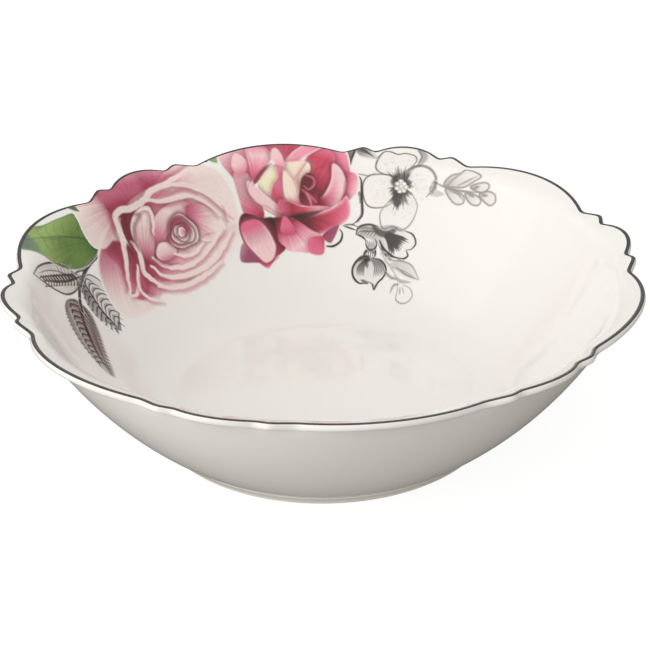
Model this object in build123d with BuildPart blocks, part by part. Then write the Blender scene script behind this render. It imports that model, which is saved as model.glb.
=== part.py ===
"""A round porcelain serving bowl with a scalloped, flared rim on a low foot ring.

The origin is the middle of the foot's standing face, +Z is up, and all sizes are in millimetres.
The finished shape is worked out first. The biscuit, its glaze coats, the metal edge band and the
printed transfers are then layers measured inwards or outwards from that finished surface.
"""

import os
from math import atan2, cos, hypot, radians, sin, sqrt, tan

from build123d import *

os.makedirs("parts", exist_ok=True)

# Overall sizes
rim_radius = 123.0  # mean radius of the scalloped edge
bowl_height = 67.2  # standing face to the rim edge, where the edge is at its mean radius

# Foot ring
foot_radius = 67.7  # outside, on the standing face
foot_flare = 3.6  # how much wider the ring is where it meets the wall
foot_height = 4.9
foot_width = 5.0  # standing face, across
foot_inner_draft = 1.2  # the inside leans away from the standing face by this much

# Wall and well
wall = 3.6
base_thickness = 3.4
wall_bulge = 4.1  # how far the wall's arc stands out from its chord
well_fillet = 30.0  # where the wall runs into the well

# Flared lip
lip_width = 5.7  # how far the lip stands out beyond the wall
lip_drop = 5.7  # rim edge down to where the wall ends
lip_slope = 18.0  # degrees above level, going outwards
lip_edge = 3.0  # thickness at the edge
lip_shoulder = 9.0  # radius of the bend from the wall to the lip, inside
lip_throat = 4.0  # radius of the hollow under the lip

# Scallops: each repeat is a long lobe, a small bead, a short lobe and another bead
repeats = 6
first_short_lobe = 11.6  # degrees, the middle of one short lobe
short_lobe_rise = 2.2  # beyond the mean rim radius
long_lobe_rise = 2.6
short_notch_angle = 7.0  # degrees from the middle of the short lobe
short_notch_drop = 2.5  # inside the mean rim radius
bead_angle = 9.5
bead_rise = 0.9
long_notch_angle = 13.9
long_notch_drop = 3.6
notch_fillet = 3.5
bead_fillet = 2.5

# Layers
glaze = 0.25
bare_edge = 1.0  # height of the unglazed strip above the standing face
band_film = 0.3  # fired metal edge band
band_reach = 1.4  # how far the band comes over the lip, above and below
print_film = 0.3  # fired transfer print
print_gap = 0.5  # between the print's cut edge and the band
print_run = 51.7  # wall, in plan from the rim to the foot's top, that the prints are cut for

# Worked out from the sizes above
foot_top = foot_radius + foot_flare
floor_level = foot_height + base_thickness
reach = rim_radius + max(short_lobe_rise, long_lobe_rise, bead_rise) + 6
top_level = bowl_height + reach
slope = tan(radians(lip_slope))
layer_per_drop = 1 / cos(radians(lip_slope))  # a layer's depth, measured straight down on the lip

# The wall's arc, from the foot's top to the wall's top
wall_foot = (foot_top, foot_height)
wall_top = (rim_radius - lip_width, bowl_height - lip_drop)
chord_x = wall_top[0] - wall_foot[0]
chord_z = wall_top[1] - wall_foot[1]
chord = hypot(chord_x, chord_z)
wall_arc = ((chord / 2) ** 2 + wall_bulge**2) / (2 * wall_bulge)
arc_x = (wall_foot[0] + wall_top[0]) / 2 + chord_z / chord * (wall_bulge - wall_arc)
arc_z = (wall_foot[1] + wall_top[1]) / 2 - chord_x / chord * (wall_bulge - wall_arc)


def level_crossing(radius, level):
    """Where the wall's arc of this radius crosses a level."""
    return (arc_x + sqrt(radius**2 - (level - arc_z) ** 2), level)


def slope_crossing(radius, level_at_rim):
    """Where the wall's arc of this radius meets a lip slope that passes the rim at this level."""
    run = rim_radius - arc_x
    fall = level_at_rim - arc_z
    steepness = 1 + slope**2
    lean = run + fall * slope
    outside = run**2 + fall**2 - radius**2
    step = (sqrt(lean**2 - steepness * outside) - lean) / steepness
    return (rim_radius + step, level_at_rim + step * slope)


def arc_between(radius, start, end):
    """The wall's arc of this radius, between two of its own points."""
    turn = (atan2(start[1] - arc_z, start[0] - arc_x) + atan2(end[1] - arc_z, end[0] - arc_x)) / 2
    middle = (arc_x + radius * cos(turn), arc_z + radius * sin(turn))
    return ThreePointArc(start, middle, end)


def envelope(depth):
    """Everything inside the outer surface, set in by a depth: wall, throat and lip's underside."""
    radius = wall_arc - depth
    under_lip = bowl_height - (lip_edge - depth) * layer_per_drop
    foot = level_crossing(radius, foot_height)
    throat = slope_crossing(radius, under_lip)
    with BuildSketch(Plane.XZ) as section:
        with BuildLine():
            Polyline((0, top_level), (0, foot_height), foot)
            arc_between(radius, foot, throat)
            Polyline(
                throat,
                (reach, under_lip + (reach - rim_radius) * slope),
                (reach, top_level),
                (0, top_level),
            )
        make_face()
        fillet(section.vertices().sort_by_distance(throat)[0], lip_throat + depth)
    return section.sketch


def cavity(depth):
    """Everything above the inner surface, sunk by a depth: well, wall, shoulder and lip's top."""
    radius = wall_arc - wall + depth
    lip_top = bowl_height - depth * layer_per_drop
    shoulder = slope_crossing(radius, lip_top)
    well = level_crossing(radius, floor_level - depth)
    with BuildSketch(Plane.XZ) as section:
        with BuildLine():
            Polyline(
                (0, floor_level - depth),
                (0, top_level),
                (reach, top_level),
                (reach, lip_top + (reach - rim_radius) * slope),
                shoulder,
            )
            arc_between(radius, shoulder, well)
            Polyline(well, (0, floor_level - depth))
        make_face()
        fillet(section.vertices().sort_by_distance(shoulder)[0], lip_shoulder - depth)
        fillet(section.vertices().sort_by_distance(well)[0], well_fillet + depth)
    return section.sketch


def on_rim(angle, rise):
    """A point of the plan outline, from a direction and a rise beyond the mean rim radius."""
    radius = rim_radius + rise
    return (radius * cos(radians(angle)), radius * sin(radians(angle)))


def scallop(growth):
    """The rim's plan outline, grown by an amount."""
    notches = []
    beads = []
    sixth = 360 / repeats
    with BuildSketch() as outline:
        with BuildLine():
            for lobe in range(repeats):
                middle = first_short_lobe + lobe * sixth
                before = on_rim(middle - short_notch_angle, -short_notch_drop)
                after = on_rim(middle + short_notch_angle, -short_notch_drop)
                bead_after = on_rim(middle + bead_angle, bead_rise)
                bead_next = on_rim(middle + sixth - bead_angle, bead_rise)
                long_start = on_rim(middle + long_notch_angle, -long_notch_drop)
                long_end = on_rim(middle + sixth - long_notch_angle, -long_notch_drop)
                next_before = on_rim(middle + sixth - short_notch_angle, -short_notch_drop)
                ThreePointArc(before, on_rim(middle, short_lobe_rise), after)
                Polyline(after, bead_after, long_start)
                ThreePointArc(long_start, on_rim(middle + sixth / 2, long_lobe_rise), long_end)
                Polyline(long_end, bead_next, next_before)
                notches += [after, long_start, long_end, next_before]
                beads += [bead_after, bead_next]
        make_face()
        fillet([outline.vertices().sort_by_distance(point)[0] for point in beads], bead_fillet)
        fillet([outline.vertices().sort_by_distance(point)[0] for point in notches], notch_fillet)
        if growth:
            offset(amount=growth, kind=Kind.ARC)
    return outline.sketch


def write(part, name):
    """Name a finished piece and write its STEP file."""
    part.label = name
    export_step(part, f"parts/{name}.step")


# The biscuit: one thrown and pressed wall with its well and flared, scalloped lip.
with BuildPart() as bowl_body:
    add(envelope(glaze))
    revolve(axis=Axis.Z)
    add(cavity(glaze))
    revolve(axis=Axis.Z, mode=Mode.SUBTRACT)
    add(scallop(-glaze))
    extrude(amount=top_level, mode=Mode.INTERSECT)
write(bowl_body.part, "bowl_body")

# The foot ring, with its outside drawn in towards the table and a flat, unglazed standing face.
foot_inner = foot_radius - foot_width
with BuildPart() as foot_ring:
    with BuildSketch(Plane.XZ) as ring_section:
        with BuildLine():
            Polyline(
                (foot_inner, 0),
                (foot_radius, 0),
                (foot_radius + foot_flare * bare_edge / foot_height, bare_edge),
                (foot_radius + foot_flare * bare_edge / foot_height - glaze, bare_edge),
                level_crossing(wall_arc - glaze, foot_height),
                (foot_inner - foot_inner_draft + glaze, foot_height),
                (foot_inner - foot_inner_draft * bare_edge / foot_height + glaze, bare_edge),
                (foot_inner - foot_inner_draft * bare_edge / foot_height, bare_edge),
                (foot_inner, 0),
            )
        make_face()
    revolve(axis=Axis.Z)
write(foot_ring.part, "foot_ring")

# The glaze inside the bowl, out to the edge of the lip.
with BuildPart() as inner_glaze:
    add(cavity(glaze))
    revolve(axis=Axis.Z)
    add(cavity(0))
    revolve(axis=Axis.Z, mode=Mode.SUBTRACT)
    add(scallop(0))
    extrude(amount=top_level, mode=Mode.INTERSECT)
write(inner_glaze.part, "inner_glaze")

# The glaze outside: under the lip, round its edge, down the wall and down the foot.
with BuildPart() as outer_glaze:
    add(envelope(0))
    revolve(axis=Axis.Z)
    add(cavity(glaze))
    revolve(axis=Axis.Z, mode=Mode.SUBTRACT)
    add(scallop(0))
    extrude(amount=top_level, mode=Mode.INTERSECT)
    add(bowl_body.part, mode=Mode.SUBTRACT)
    with BuildSketch(Plane.XZ) as foot_coat:
        with BuildLine():
            Polyline(
                (foot_radius + foot_flare * bare_edge / foot_height, bare_edge),
                level_crossing(wall_arc, foot_height),
                level_crossing(wall_arc - glaze, foot_height),
                (foot_radius + foot_flare * bare_edge / foot_height - glaze, bare_edge),
                (foot_radius + foot_flare * bare_edge / foot_height, bare_edge),
            )
        make_face()
    revolve(axis=Axis.Z)
write(outer_glaze.part, "outer_glaze")

# The glaze under the base, inside the foot ring.
with BuildPart() as base_glaze:
    with BuildSketch(Plane.XZ) as pool:
        with BuildLine():
            Polyline(
                (0, foot_height),
                (foot_inner - foot_inner_draft + glaze, foot_height),
                (foot_inner - foot_inner_draft * bare_edge / foot_height + glaze, bare_edge),
                (foot_inner - foot_inner_draft * bare_edge / foot_height, bare_edge),
                (foot_inner - foot_inner_draft, foot_height - glaze),
                (0, foot_height - glaze),
                (0, foot_height),
            )
        make_face()
    revolve(axis=Axis.Z)
write(base_glaze.part, "base_glaze")

# The glazed bowl above the foot, kept only to cut the band and the prints to its surface.
with BuildPart() as glazed_bowl:
    add(envelope(0))
    revolve(axis=Axis.Z)
    add(cavity(0))
    revolve(axis=Axis.Z, mode=Mode.SUBTRACT)
    add(scallop(0))
    extrude(amount=top_level, mode=Mode.INTERSECT)

# The metal band, painted over the edge of the lip and fired on.
with BuildPart() as rim_band:
    add(envelope(-band_film))
    revolve(axis=Axis.Z)
    add(cavity(-band_film))
    revolve(axis=Axis.Z, mode=Mode.SUBTRACT)
    add(scallop(band_film))
    extrude(amount=top_level, mode=Mode.INTERSECT)
    add(glazed_bowl.part, mode=Mode.SUBTRACT)
    add(scallop(-band_reach))
    extrude(amount=top_level, mode=Mode.SUBTRACT)
write(rim_band.part, "rim_band")

# The film that all prints lie in: one thin coat over the inner surface, inside the band.
with BuildPart() as film:
    add(cavity(0))
    revolve(axis=Axis.Z)
    add(cavity(-print_film))
    revolve(axis=Axis.Z, mode=Mode.SUBTRACT)
    add(scallop(-band_reach - print_gap))
    extrude(amount=top_level, mode=Mode.INTERSECT)

# Each print's cut outline: directions in degrees, with the distance in from the mean rim radius.
# A print that runs off the rim has points beyond it, and the film ends it at the band.
# Prints are cut longer or shorter to suit the run of the wall.
print_stretch = (rim_radius - foot_top) / print_run
print_outlines = {
    "pink_rose_print": [
        (110, 13),
        (109, 20),
        (114, 28),
        (119, 36),
        (129, 40),
        (142, 36),
        (154, 33),
        (158, 24),
        (152, 13),
        (148, -4),
        (132, -6),
        (117, 2),
    ],
    "crimson_rose_print": [
        (114, -3),
        (104, -7),
        (90, -6),
        (82, 5),
        (80, 17),
        (84, 25),
        (88, 30),
        (97, 29),
        (107, 36),
        (112, 31),
        (111, 18),
    ],
    "green_leaf_print": [(171, -5), (160, -8), (149, 0), (148, 10), (154, 18), (165, 14), (173, 7)],
    "outlined_leaf_print": [(176, 8), (169, 10), (163, 16), (166, 20), (173, 16)],
    "banded_leaf_print": [(161, 18), (157, 22), (157, 31), (162, 35), (166, 30), (165, 23)],
    "feathered_leaf_print": [(172, 18), (167, 21), (168, 30), (184, 39), (186, 30), (180, 22)],
    "blossom_print": [(81, 13), (78, 6), (72, 0), (64, 7), (62, 15), (68, 24), (77, 24)],
    "rim_leaf_print": [(86, 0), (82, 10), (77, 8), (79, -4)],
    "trumpet_flower_print": [(82, 21), (74, 23), (64, 24), (66, 32), (77, 33)],
    "bud_print": [(81, 34), (76, 33), (71, 36), (74, 44)],
    "faded_sprig_print": [(71, 35), (65, 28), (60, 37), (64, 46)],
    "grey_sprig_print": [(66, 6), (60, 1), (48, 8), (53, 14), (62, 15)],
}
placed = []
for print_name, outline_points in print_outlines.items():
    with BuildPart() as transfer:
        with BuildSketch() as cut_line:
            with BuildLine():
                Spline(
                    [on_rim(angle, -inset * print_stretch) for angle, inset in outline_points],
                    periodic=True,
                )
            make_face()
        extrude(amount=top_level)
        add(film.part, mode=Mode.INTERSECT)
        for earlier in placed:
            add(earlier, mode=Mode.SUBTRACT)
    write(transfer.part, print_name)
    placed.append(transfer.part)
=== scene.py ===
import math

import bpy
import numpy as np
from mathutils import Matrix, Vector


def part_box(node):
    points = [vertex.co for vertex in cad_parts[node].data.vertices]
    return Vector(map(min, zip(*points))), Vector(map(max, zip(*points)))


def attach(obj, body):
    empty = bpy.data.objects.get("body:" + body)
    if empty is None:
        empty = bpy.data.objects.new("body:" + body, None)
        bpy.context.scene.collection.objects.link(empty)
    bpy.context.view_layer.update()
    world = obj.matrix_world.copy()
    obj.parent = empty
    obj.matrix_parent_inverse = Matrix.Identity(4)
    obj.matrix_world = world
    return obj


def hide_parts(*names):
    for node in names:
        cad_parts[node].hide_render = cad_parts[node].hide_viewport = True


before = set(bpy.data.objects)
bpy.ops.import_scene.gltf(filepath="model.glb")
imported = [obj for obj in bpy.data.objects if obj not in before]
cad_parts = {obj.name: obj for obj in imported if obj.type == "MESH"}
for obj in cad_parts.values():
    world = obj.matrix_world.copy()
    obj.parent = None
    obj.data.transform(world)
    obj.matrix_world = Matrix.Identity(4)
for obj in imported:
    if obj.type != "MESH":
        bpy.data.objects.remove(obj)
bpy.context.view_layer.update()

MM = 0.001

# ---------------------------------------------------------------------------------------------
# The glazed wall. One jiggered porcelain shell: a shallow well, an arched wall and a lip that
# flares out, with its edge cut in six repeats of a long lobe, a bead, a short lobe and a bead.
# A clear glaze covers all of it, so body and glaze show as one glossy, warm white surface.
# Sizes are in millimetres, and sections are drawn as (radius, level).
# ---------------------------------------------------------------------------------------------
rim_radius = 123.0
bowl_height = 67.2
foot_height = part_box("foot_ring")[1][2] / MM
foot_top = 71.3
wall = 3.6
base_thickness = 3.4
wall_bulge = 4.1
well_fillet = 30.0
lip_width = 5.7
lip_drop = 5.7
lip_slope = 18.0
lip_edge = 3.0
lip_shoulder = 9.0
lip_throat = 4.0
edge_top_round = 0.8
edge_foot_round = 1.6
glaze_swell = -0.2  # how far the tip of the edge stands out from the plan; below 0 is inside it
flute_reach = 13.0  # how far the scallops run on as soft flutes from the edge

repeats = 6
first_short_lobe = 11.6  # degrees
short_lobe_rise = 2.2
long_lobe_rise = 2.6
short_notch_angle, short_notch_rise = 7.0, -2.3
bead_angle, bead_rise = 9.5, 0.5
long_notch_angle, long_notch_rise = 13.9, -3.3
edge_softness = 1.5  # how far the glaze rounds the notches and beads
outline_step = 0.1
fine_half = 15.5  # degrees each side of a short lobe where the rim is cut finely
fine_columns, plain_columns = 90, 30


def arc(middle, start, end, steps):
    """Points of the shorter arc about a middle from start to end, both included."""
    first = math.atan2(start[1] - middle[1], start[0] - middle[0])
    turn = math.atan2(end[1] - middle[1], end[0] - middle[0]) - first
    turn = (turn + math.pi) % (2 * math.pi) - math.pi
    angles = first + turn * np.linspace(0, 1, steps + 1)
    radius = math.dist(middle, start)
    return np.add(middle, radius * np.column_stack([np.cos(angles), np.sin(angles)]))


def arc_through(start, through, end, steps):
    """Points of the arc that starts at one point, passes another and ends at a third."""
    rows = 2 * np.array([np.subtract(through, start), np.subtract(end, start)])
    squares = [np.dot(p, p) - np.dot(start, start) for p in (through, end)]
    return arc(np.linalg.solve(rows, squares), start, end, steps)


def on_rim(angle, rise):
    """A point of the plan, from a direction in degrees and a rise over the mean rim radius."""
    angle = math.radians(angle)
    return np.array([math.cos(angle), math.sin(angle)]) * (rim_radius + rise)


def rim_outline():
    """The rim in plan as a dense loop: lobes as arcs, bead flanks as lines, softened by glaze."""
    raw = []
    sixth = 360 / repeats
    for lobe in range(repeats):
        short = first_short_lobe + lobe * sixth
        long = short + sixth / 2
        before = on_rim(short - short_notch_angle, short_notch_rise)
        after = on_rim(short + short_notch_angle, short_notch_rise)
        raw.extend(arc_through(before, on_rim(short, short_lobe_rise), after, 60))
        raw.append(on_rim(short + bead_angle, bead_rise))
        start = on_rim(short + long_notch_angle, long_notch_rise)
        end = on_rim(short + sixth - long_notch_angle, long_notch_rise)
        raw.extend(arc_through(start, on_rim(long, long_lobe_rise), end, 120))
        raw.append(on_rim(short + sixth - bead_angle, bead_rise))
    raw = np.array(raw + raw[:1])
    run = np.r_[0, np.cumsum(np.hypot(*np.diff(raw, axis=0).T))]
    even = np.arange(0, run[-1], outline_step)
    loop = np.column_stack([np.interp(even, run, raw[:, k]) for k in (0, 1)])
    reach = round(3 * edge_softness / outline_step)
    spread = np.arange(-reach, reach + 1) * outline_step / edge_softness
    weights = np.exp(-0.5 * spread**2)
    weights /= weights.sum()
    wrapped = np.vstack([loop[-reach:], loop, loop[:reach]])
    return np.column_stack([np.convolve(wrapped[:, k], weights, "valid") for k in (0, 1)])


outline = rim_outline()
outline_angle = np.unwrap(np.arctan2(outline[:, 1], outline[:, 0]))
outline_rise = np.hypot(outline[:, 0], outline[:, 1]) - rim_radius


def rise_at(angles):
    """How far the rim stands out beyond its mean radius in these directions, in radians."""
    start = outline_angle[0]
    turned = start + (np.asarray(angles) - start) % (2 * math.pi)
    full_angle = np.r_[outline_angle, start + 2 * math.pi]
    return np.interp(turned, full_angle, np.r_[outline_rise, outline_rise[0]])


def toward(middle, target, radius):
    """The point at a radius from a middle, in the direction of a target."""
    step = np.subtract(target, middle)
    return middle + step * (radius / np.hypot(*step))


scallop_climb = 0.46  # how far the edge climbs for every millimetre that it stands out
lip_out = np.array([math.cos(math.radians(lip_slope)), math.sin(math.radians(lip_slope))])
lip_down = np.array([lip_out[1], -lip_out[0]])
lip_point = np.array([rim_radius, bowl_height])
wall_foot = np.array([foot_top, foot_height])
wall_top = np.array([rim_radius - lip_width, bowl_height - lip_drop])
chord = wall_top - wall_foot
outer_arc = (np.dot(chord, chord) / 4 + wall_bulge**2) / (2 * wall_bulge)
inner_arc = outer_arc - wall
chord_side = np.array([chord[1], -chord[0]]) / np.hypot(*chord)
arc_middle = (wall_foot + wall_top) / 2 + chord_side * (wall_bulge - outer_arc)
floor_level = foot_height + base_thickness


def touching(depth, reach):
    """The point of the lip's line, sunk by a depth, at a distance from the wall arc's middle."""
    base = lip_point + lip_down * depth
    back = base - arc_middle
    along = np.dot(back, lip_out)
    return base + lip_out * (math.sqrt(along**2 - np.dot(back, back) + reach**2) - along)


shoulder = touching(lip_shoulder, inner_arc + lip_shoulder)
throat = touching(lip_edge + lip_throat, outer_arc + lip_throat)
well_rise = floor_level + well_fillet - arc_middle[1]
well_run = math.sqrt((inner_arc - well_fillet) ** 2 - well_rise**2)
well_bend = arc_middle + np.array([well_run, well_rise])
edge_tip = lip_point + lip_out * glaze_swell
top_round = edge_tip + (lip_down - lip_out) * edge_top_round
foot_round = edge_tip + lip_down * (lip_edge - edge_foot_round) - lip_out * edge_foot_round

shoulder_foot = toward(arc_middle, shoulder, inner_arc)
well_top = toward(arc_middle, well_bend, inner_arc)
well_foot = np.array([well_bend[0], floor_level])
inside = np.vstack(
    [
        np.linspace(top_round - lip_down * edge_top_round, shoulder - lip_down * lip_shoulder, 5),
        arc(shoulder, shoulder - lip_down * lip_shoulder, shoulder_foot, 10)[1:],
        arc(arc_middle, shoulder_foot, well_top, 26)[1:],
        arc(well_bend, well_top, well_foot, 12)[1:],
        np.linspace(well_foot, (0, floor_level), 9)[1:],
    ]
)
edge = np.vstack(
    [
        arc(top_round, top_round - lip_down * edge_top_round, top_round + lip_out * edge_top_round, 6),
        arc(foot_round, foot_round + lip_out * edge_foot_round, foot_round + lip_down * edge_foot_round, 6),
    ]
)
outside = np.vstack(
    [
        arc(throat, throat - lip_down * lip_throat, toward(throat, arc_middle, lip_throat), 8),
        arc(arc_middle, toward(arc_middle, throat, outer_arc), wall_foot, 26)[1:],
        [(0, foot_height)],
    ]
)


def follow_weights(section, edge_index):
    """How far each point follows the scallops: fully at the edge, not at all past the flutes."""
    steps = np.hypot(*np.diff(section, axis=0).T)
    run = np.r_[0, np.cumsum(steps)]
    far = np.clip(np.abs(run - run[edge_index]) / flute_reach, 0, 1)
    return 1 - far * far * (3 - 2 * far)


def new_piece(name, points, edges=(), faces=(), **values):
    """A new object from points in metres, with named values held at its points."""
    mesh = bpy.data.meshes.new(name)
    mesh.from_pydata(points, edges, faces)
    for key, value in values.items():
        mesh.attributes.new(key, "FLOAT", "POINT").data.foreach_set("value", value)
    piece = bpy.data.objects.new(name, mesh)
    bpy.context.collection.objects.link(piece)
    return piece


def section_piece(name, section, follow, edges=()):
    """A turning section with its scallop weights, for the trees to read."""
    return new_piece(name, [(r * MM, 0, z * MM) for r, z in section], edges, follow=follow)


def node(tree, kind, links=(), **settings):
    """Add a node, set its properties and feed its inputs by name or number."""
    made = tree.nodes.new(kind)
    for key, value in settings.items():
        setattr(made, key, value)
    for key, value in dict(links).items():
        if isinstance(value, bpy.types.NodeSocket):
            tree.links.new(value, made.inputs[key])
        else:
            made.inputs[key].default_value = value
    return made


def maths(tree, operation, *values):
    """One scalar sum of nodes."""
    return node(tree, "ShaderNodeMath", dict(enumerate(values)), operation=operation).outputs[0]


def geometry_tree(name, inputs):
    """An empty geometry tree with a Geometry in and out, and named inputs for its sizes."""
    tree = bpy.data.node_groups.new(name, "GeometryNodeTree")
    tree.is_modifier = True
    tree.interface.new_socket("Geometry", in_out="INPUT", socket_type="NodeSocketGeometry")
    tree.interface.new_socket("Geometry", in_out="OUTPUT", socket_type="NodeSocketGeometry")
    for label, kind in inputs:
        tree.interface.new_socket(label, in_out="INPUT", socket_type=kind)
    return tree, tree.nodes.new("NodeGroupInput").outputs


def end_tree(tree, geometry, material):
    """Realize, give the material and send the geometry out."""
    real = node(tree, "GeometryNodeRealizeInstances", {0: geometry})
    done = node(tree, "GeometryNodeSetMaterial", {"Geometry": real.outputs[0], "Material": material})
    node(tree, "NodeGroupOutput", {0: done.outputs[0]})


def run_tree(piece, tree, name, **values):
    """Run a tree on a piece with its named inputs set, and keep the result as a plain mesh."""
    modifier = piece.modifiers.new(tree.name, "NODES")
    modifier.node_group = tree
    for item in tree.interface.items_tree:
        label = item.name.lower().replace(" ", "_")
        if item.in_out == "INPUT" and label in values:
            modifier[item.identifier] = values[label]
    piece.update_tag()
    evaluated = piece.evaluated_get(bpy.context.evaluated_depsgraph_get())
    mesh = bpy.data.meshes.new_from_object(evaluated)
    mesh.name = name
    made = bpy.data.objects.new(name, mesh)
    bpy.context.collection.objects.link(made)
    bpy.data.objects.remove(piece)
    mesh.shade_smooth()
    return made


def rise_piece(name, angles):
    """Directions round the bowl, each holding the rim's rise there, for the trees to read."""
    return new_piece(name, [(math.cos(a), math.sin(a), 0) for a in angles], rise=rise_at(angles) * MM)


def named(tree, name):
    """A float attribute, read by name."""
    return node(tree, "GeometryNodeInputNamedAttribute", {"Name": name}, data_type="FLOAT").outputs[0]


def sample(tree, geometry, value, index, kind):
    """Read a value at one point of another geometry."""
    feeds = {"Geometry": geometry, "Value": value, "Index": index}
    return node(tree, "GeometryNodeSampleIndex", feeds, data_type=kind, domain="POINT").outputs[0]


def wheel_tree():
    """Turn a section once round, each point sliding up and out along the lip with the scallops."""
    tree, feed = geometry_tree(
        "turn_on_the_wheel",
        [
            ("Directions", "NodeSocketObject"),
            ("Climb", "NodeSocketFloat"),
            ("Weld", "NodeSocketFloat"),
            ("Finish", "NodeSocketMaterial"),
        ],
    )
    section = feed["Geometry"]
    around = node(tree, "GeometryNodeObjectInfo", {"Object": feed["Directions"]}).outputs["Geometry"]
    rows = node(tree, "GeometryNodeAttributeDomainSize", {0: section}).outputs["Point Count"]
    turns = node(tree, "GeometryNodeAttributeDomainSize", {0: around}).outputs["Point Count"]
    closed = maths(tree, "ADD", turns, 1)
    grid = node(tree, "GeometryNodeMeshGrid", {"Vertices X": closed, "Vertices Y": rows}).outputs["Mesh"]
    index = node(tree, "GeometryNodeInputIndex").outputs[0]
    column = maths(tree, "FLOOR", maths(tree, "DIVIDE", maths(tree, "ADD", index, 0.5), rows))
    row = maths(tree, "SUBTRACT", index, maths(tree, "MULTIPLY", column, rows))
    turn = maths(tree, "MODULO", column, turns)
    place = node(tree, "GeometryNodeInputPosition").outputs[0]
    point = sample(tree, section, place, row, "FLOAT_VECTOR")
    follow = sample(tree, section, named(tree, "follow"), row, "FLOAT")
    heading = sample(tree, around, place, turn, "FLOAT_VECTOR")
    rise = sample(tree, around, named(tree, "rise"), turn, "FLOAT")
    slide = maths(tree, "MULTIPLY", follow, rise)
    split = node(tree, "ShaderNodeSeparateXYZ", {0: point}).outputs
    off_axis = maths(tree, "SIGN", split["X"])  # 0 on the axis, so the middle of a base stays a point
    radius = maths(tree, "ADD", split["X"], maths(tree, "MULTIPLY", slide, off_axis))
    level = maths(tree, "ADD", split["Z"], maths(tree, "MULTIPLY", slide, feed["Climb"]))
    flat = node(tree, "ShaderNodeVectorMath", {0: heading, "Scale": radius}, operation="SCALE").outputs[0]
    lift = node(tree, "ShaderNodeCombineXYZ", {"Z": level}).outputs[0]
    spot = node(tree, "ShaderNodeVectorMath", {0: flat, 1: lift}, operation="ADD").outputs[0]
    moved = node(tree, "GeometryNodeSetPosition", {"Geometry": grid, "Position": spot}).outputs[0]
    welded = node(tree, "GeometryNodeMergeByDistance", {"Geometry": moved, "Distance": feed["Weld"]})
    end_tree(tree, welded.outputs[0], feed["Finish"])
    return tree


columns = []
for lobe in range(repeats):
    short = first_short_lobe + lobe * 360 / repeats
    plain_end = short + 360 / repeats - fine_half
    columns.extend(np.linspace(short - fine_half, short + fine_half, fine_columns, endpoint=False))
    columns.extend(np.linspace(short + fine_half, plain_end, plain_columns, endpoint=False))
directions = rise_piece("directions", np.radians(columns))
even_directions = rise_piece("even_directions", np.radians(np.arange(0, 360, 2.0)))
wheel = wheel_tree()


def turned(name, section, follow, around, finish):
    """A piece turned from its section, as a closed and welded mesh."""
    return run_tree(
        section_piece(name + "_section", section, follow),
        wheel,
        name,
        directions=around,
        climb=scallop_climb,
        weld=MM / 200,
        finish=finish,
    )


def material(name, base_color, roughness):
    """A Principled material in plain gloss, returned with its tree and its shader."""
    made = bpy.data.materials.new(name)
    made.use_nodes = True
    shader = made.node_tree.nodes["Principled BSDF"]
    shader.inputs["Base Color"].default_value = (*base_color, 1)
    shader.inputs["Roughness"].default_value = roughness
    return made, made.node_tree, shader


def shader_group(name, inputs, outputs):
    """An empty shader node group with named inputs and outputs."""
    group = bpy.data.node_groups.new(name, "ShaderNodeTree")
    for label, kind, default in inputs:
        group.interface.new_socket(label, in_out="INPUT", socket_type=kind).default_value = default
    for label, kind in outputs:
        group.interface.new_socket(label, in_out="OUTPUT", socket_type=kind)
    return group, group.nodes.new("NodeGroupInput").outputs


def noise(tree, coordinates, scale, detail):
    """Noise in the piece's own space."""
    feeds = {"Vector": coordinates, "Scale": scale, "Detail": detail}
    return node(tree, "ShaderNodeTexNoise", feeds).outputs[0]


def mix(tree, factor, first, second, kind="MIX"):
    """Two colours mixed."""
    feeds = {0: factor, 6: first, 7: second}
    return node(tree, "ShaderNodeMix", feeds, data_type="RGBA", blend_type=kind).outputs[2]


def fired_glaze_group():
    """Fired glaze: faint warm clouds where it pooled, a little unevenness and a soft orange peel."""
    group, feed = shader_group(
        "fired_glaze",
        [
            ("Thin", "NodeSocketColor", (0.9, 0.895, 0.875, 1)),
            ("Pooled", "NodeSocketColor", (0.86, 0.85, 0.82, 1)),
            ("Smooth", "NodeSocketFloat", 0.05),
            ("Rough", "NodeSocketFloat", 0.1),
        ],
        [("Color", "NodeSocketColor"), ("Roughness", "NodeSocketFloat"), ("Height", "NodeSocketFloat")],
    )
    where = node(group, "ShaderNodeTexCoord").outputs["Object"]
    clouds = noise(group, where, 22.0, 2.0)
    fine = noise(group, where, 320.0, 3.0)
    peel = noise(group, where, 90.0, 1.0)
    color = mix(group, clouds, feed["Thin"], feed["Pooled"])
    spread = maths(group, "SUBTRACT", feed["Rough"], feed["Smooth"])
    rough = maths(group, "MULTIPLY_ADD", fine, spread, feed["Smooth"])
    feeds = {"Color": color, "Roughness": rough, "Height": peel}
    node(group, "NodeGroupOutput", feeds)
    return group


fired_glaze = fired_glaze_group()


def glazed(name, thin, pooled, peel=0.03):
    """A glazed porcelain material. Its colour, roughness and orange peel come from the group."""
    made, tree, shader = material(name, thin, 0.08)
    skin = node(tree, "ShaderNodeGroup", {}, node_tree=fired_glaze)
    skin.inputs["Thin"].default_value = (*thin, 1)
    skin.inputs["Pooled"].default_value = (*pooled, 1)
    bump = node(tree, "ShaderNodeBump", {"Height": skin.outputs["Height"], "Strength": peel})
    bump.inputs["Distance"].default_value = 0.0005
    tree.links.new(skin.outputs["Color"], shader.inputs["Base Color"])
    tree.links.new(skin.outputs["Roughness"], shader.inputs["Roughness"])
    tree.links.new(bump.outputs[0], shader.inputs["Normal"])
    shader.inputs["IOR"].default_value = 1.52
    return made, tree, shader


porcelain_thin = (0.90, 0.89, 0.865)
porcelain_pooled = (0.88, 0.865, 0.835)
glazed_porcelain, _, _ = glazed("glazed_porcelain", porcelain_thin, porcelain_pooled)

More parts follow.
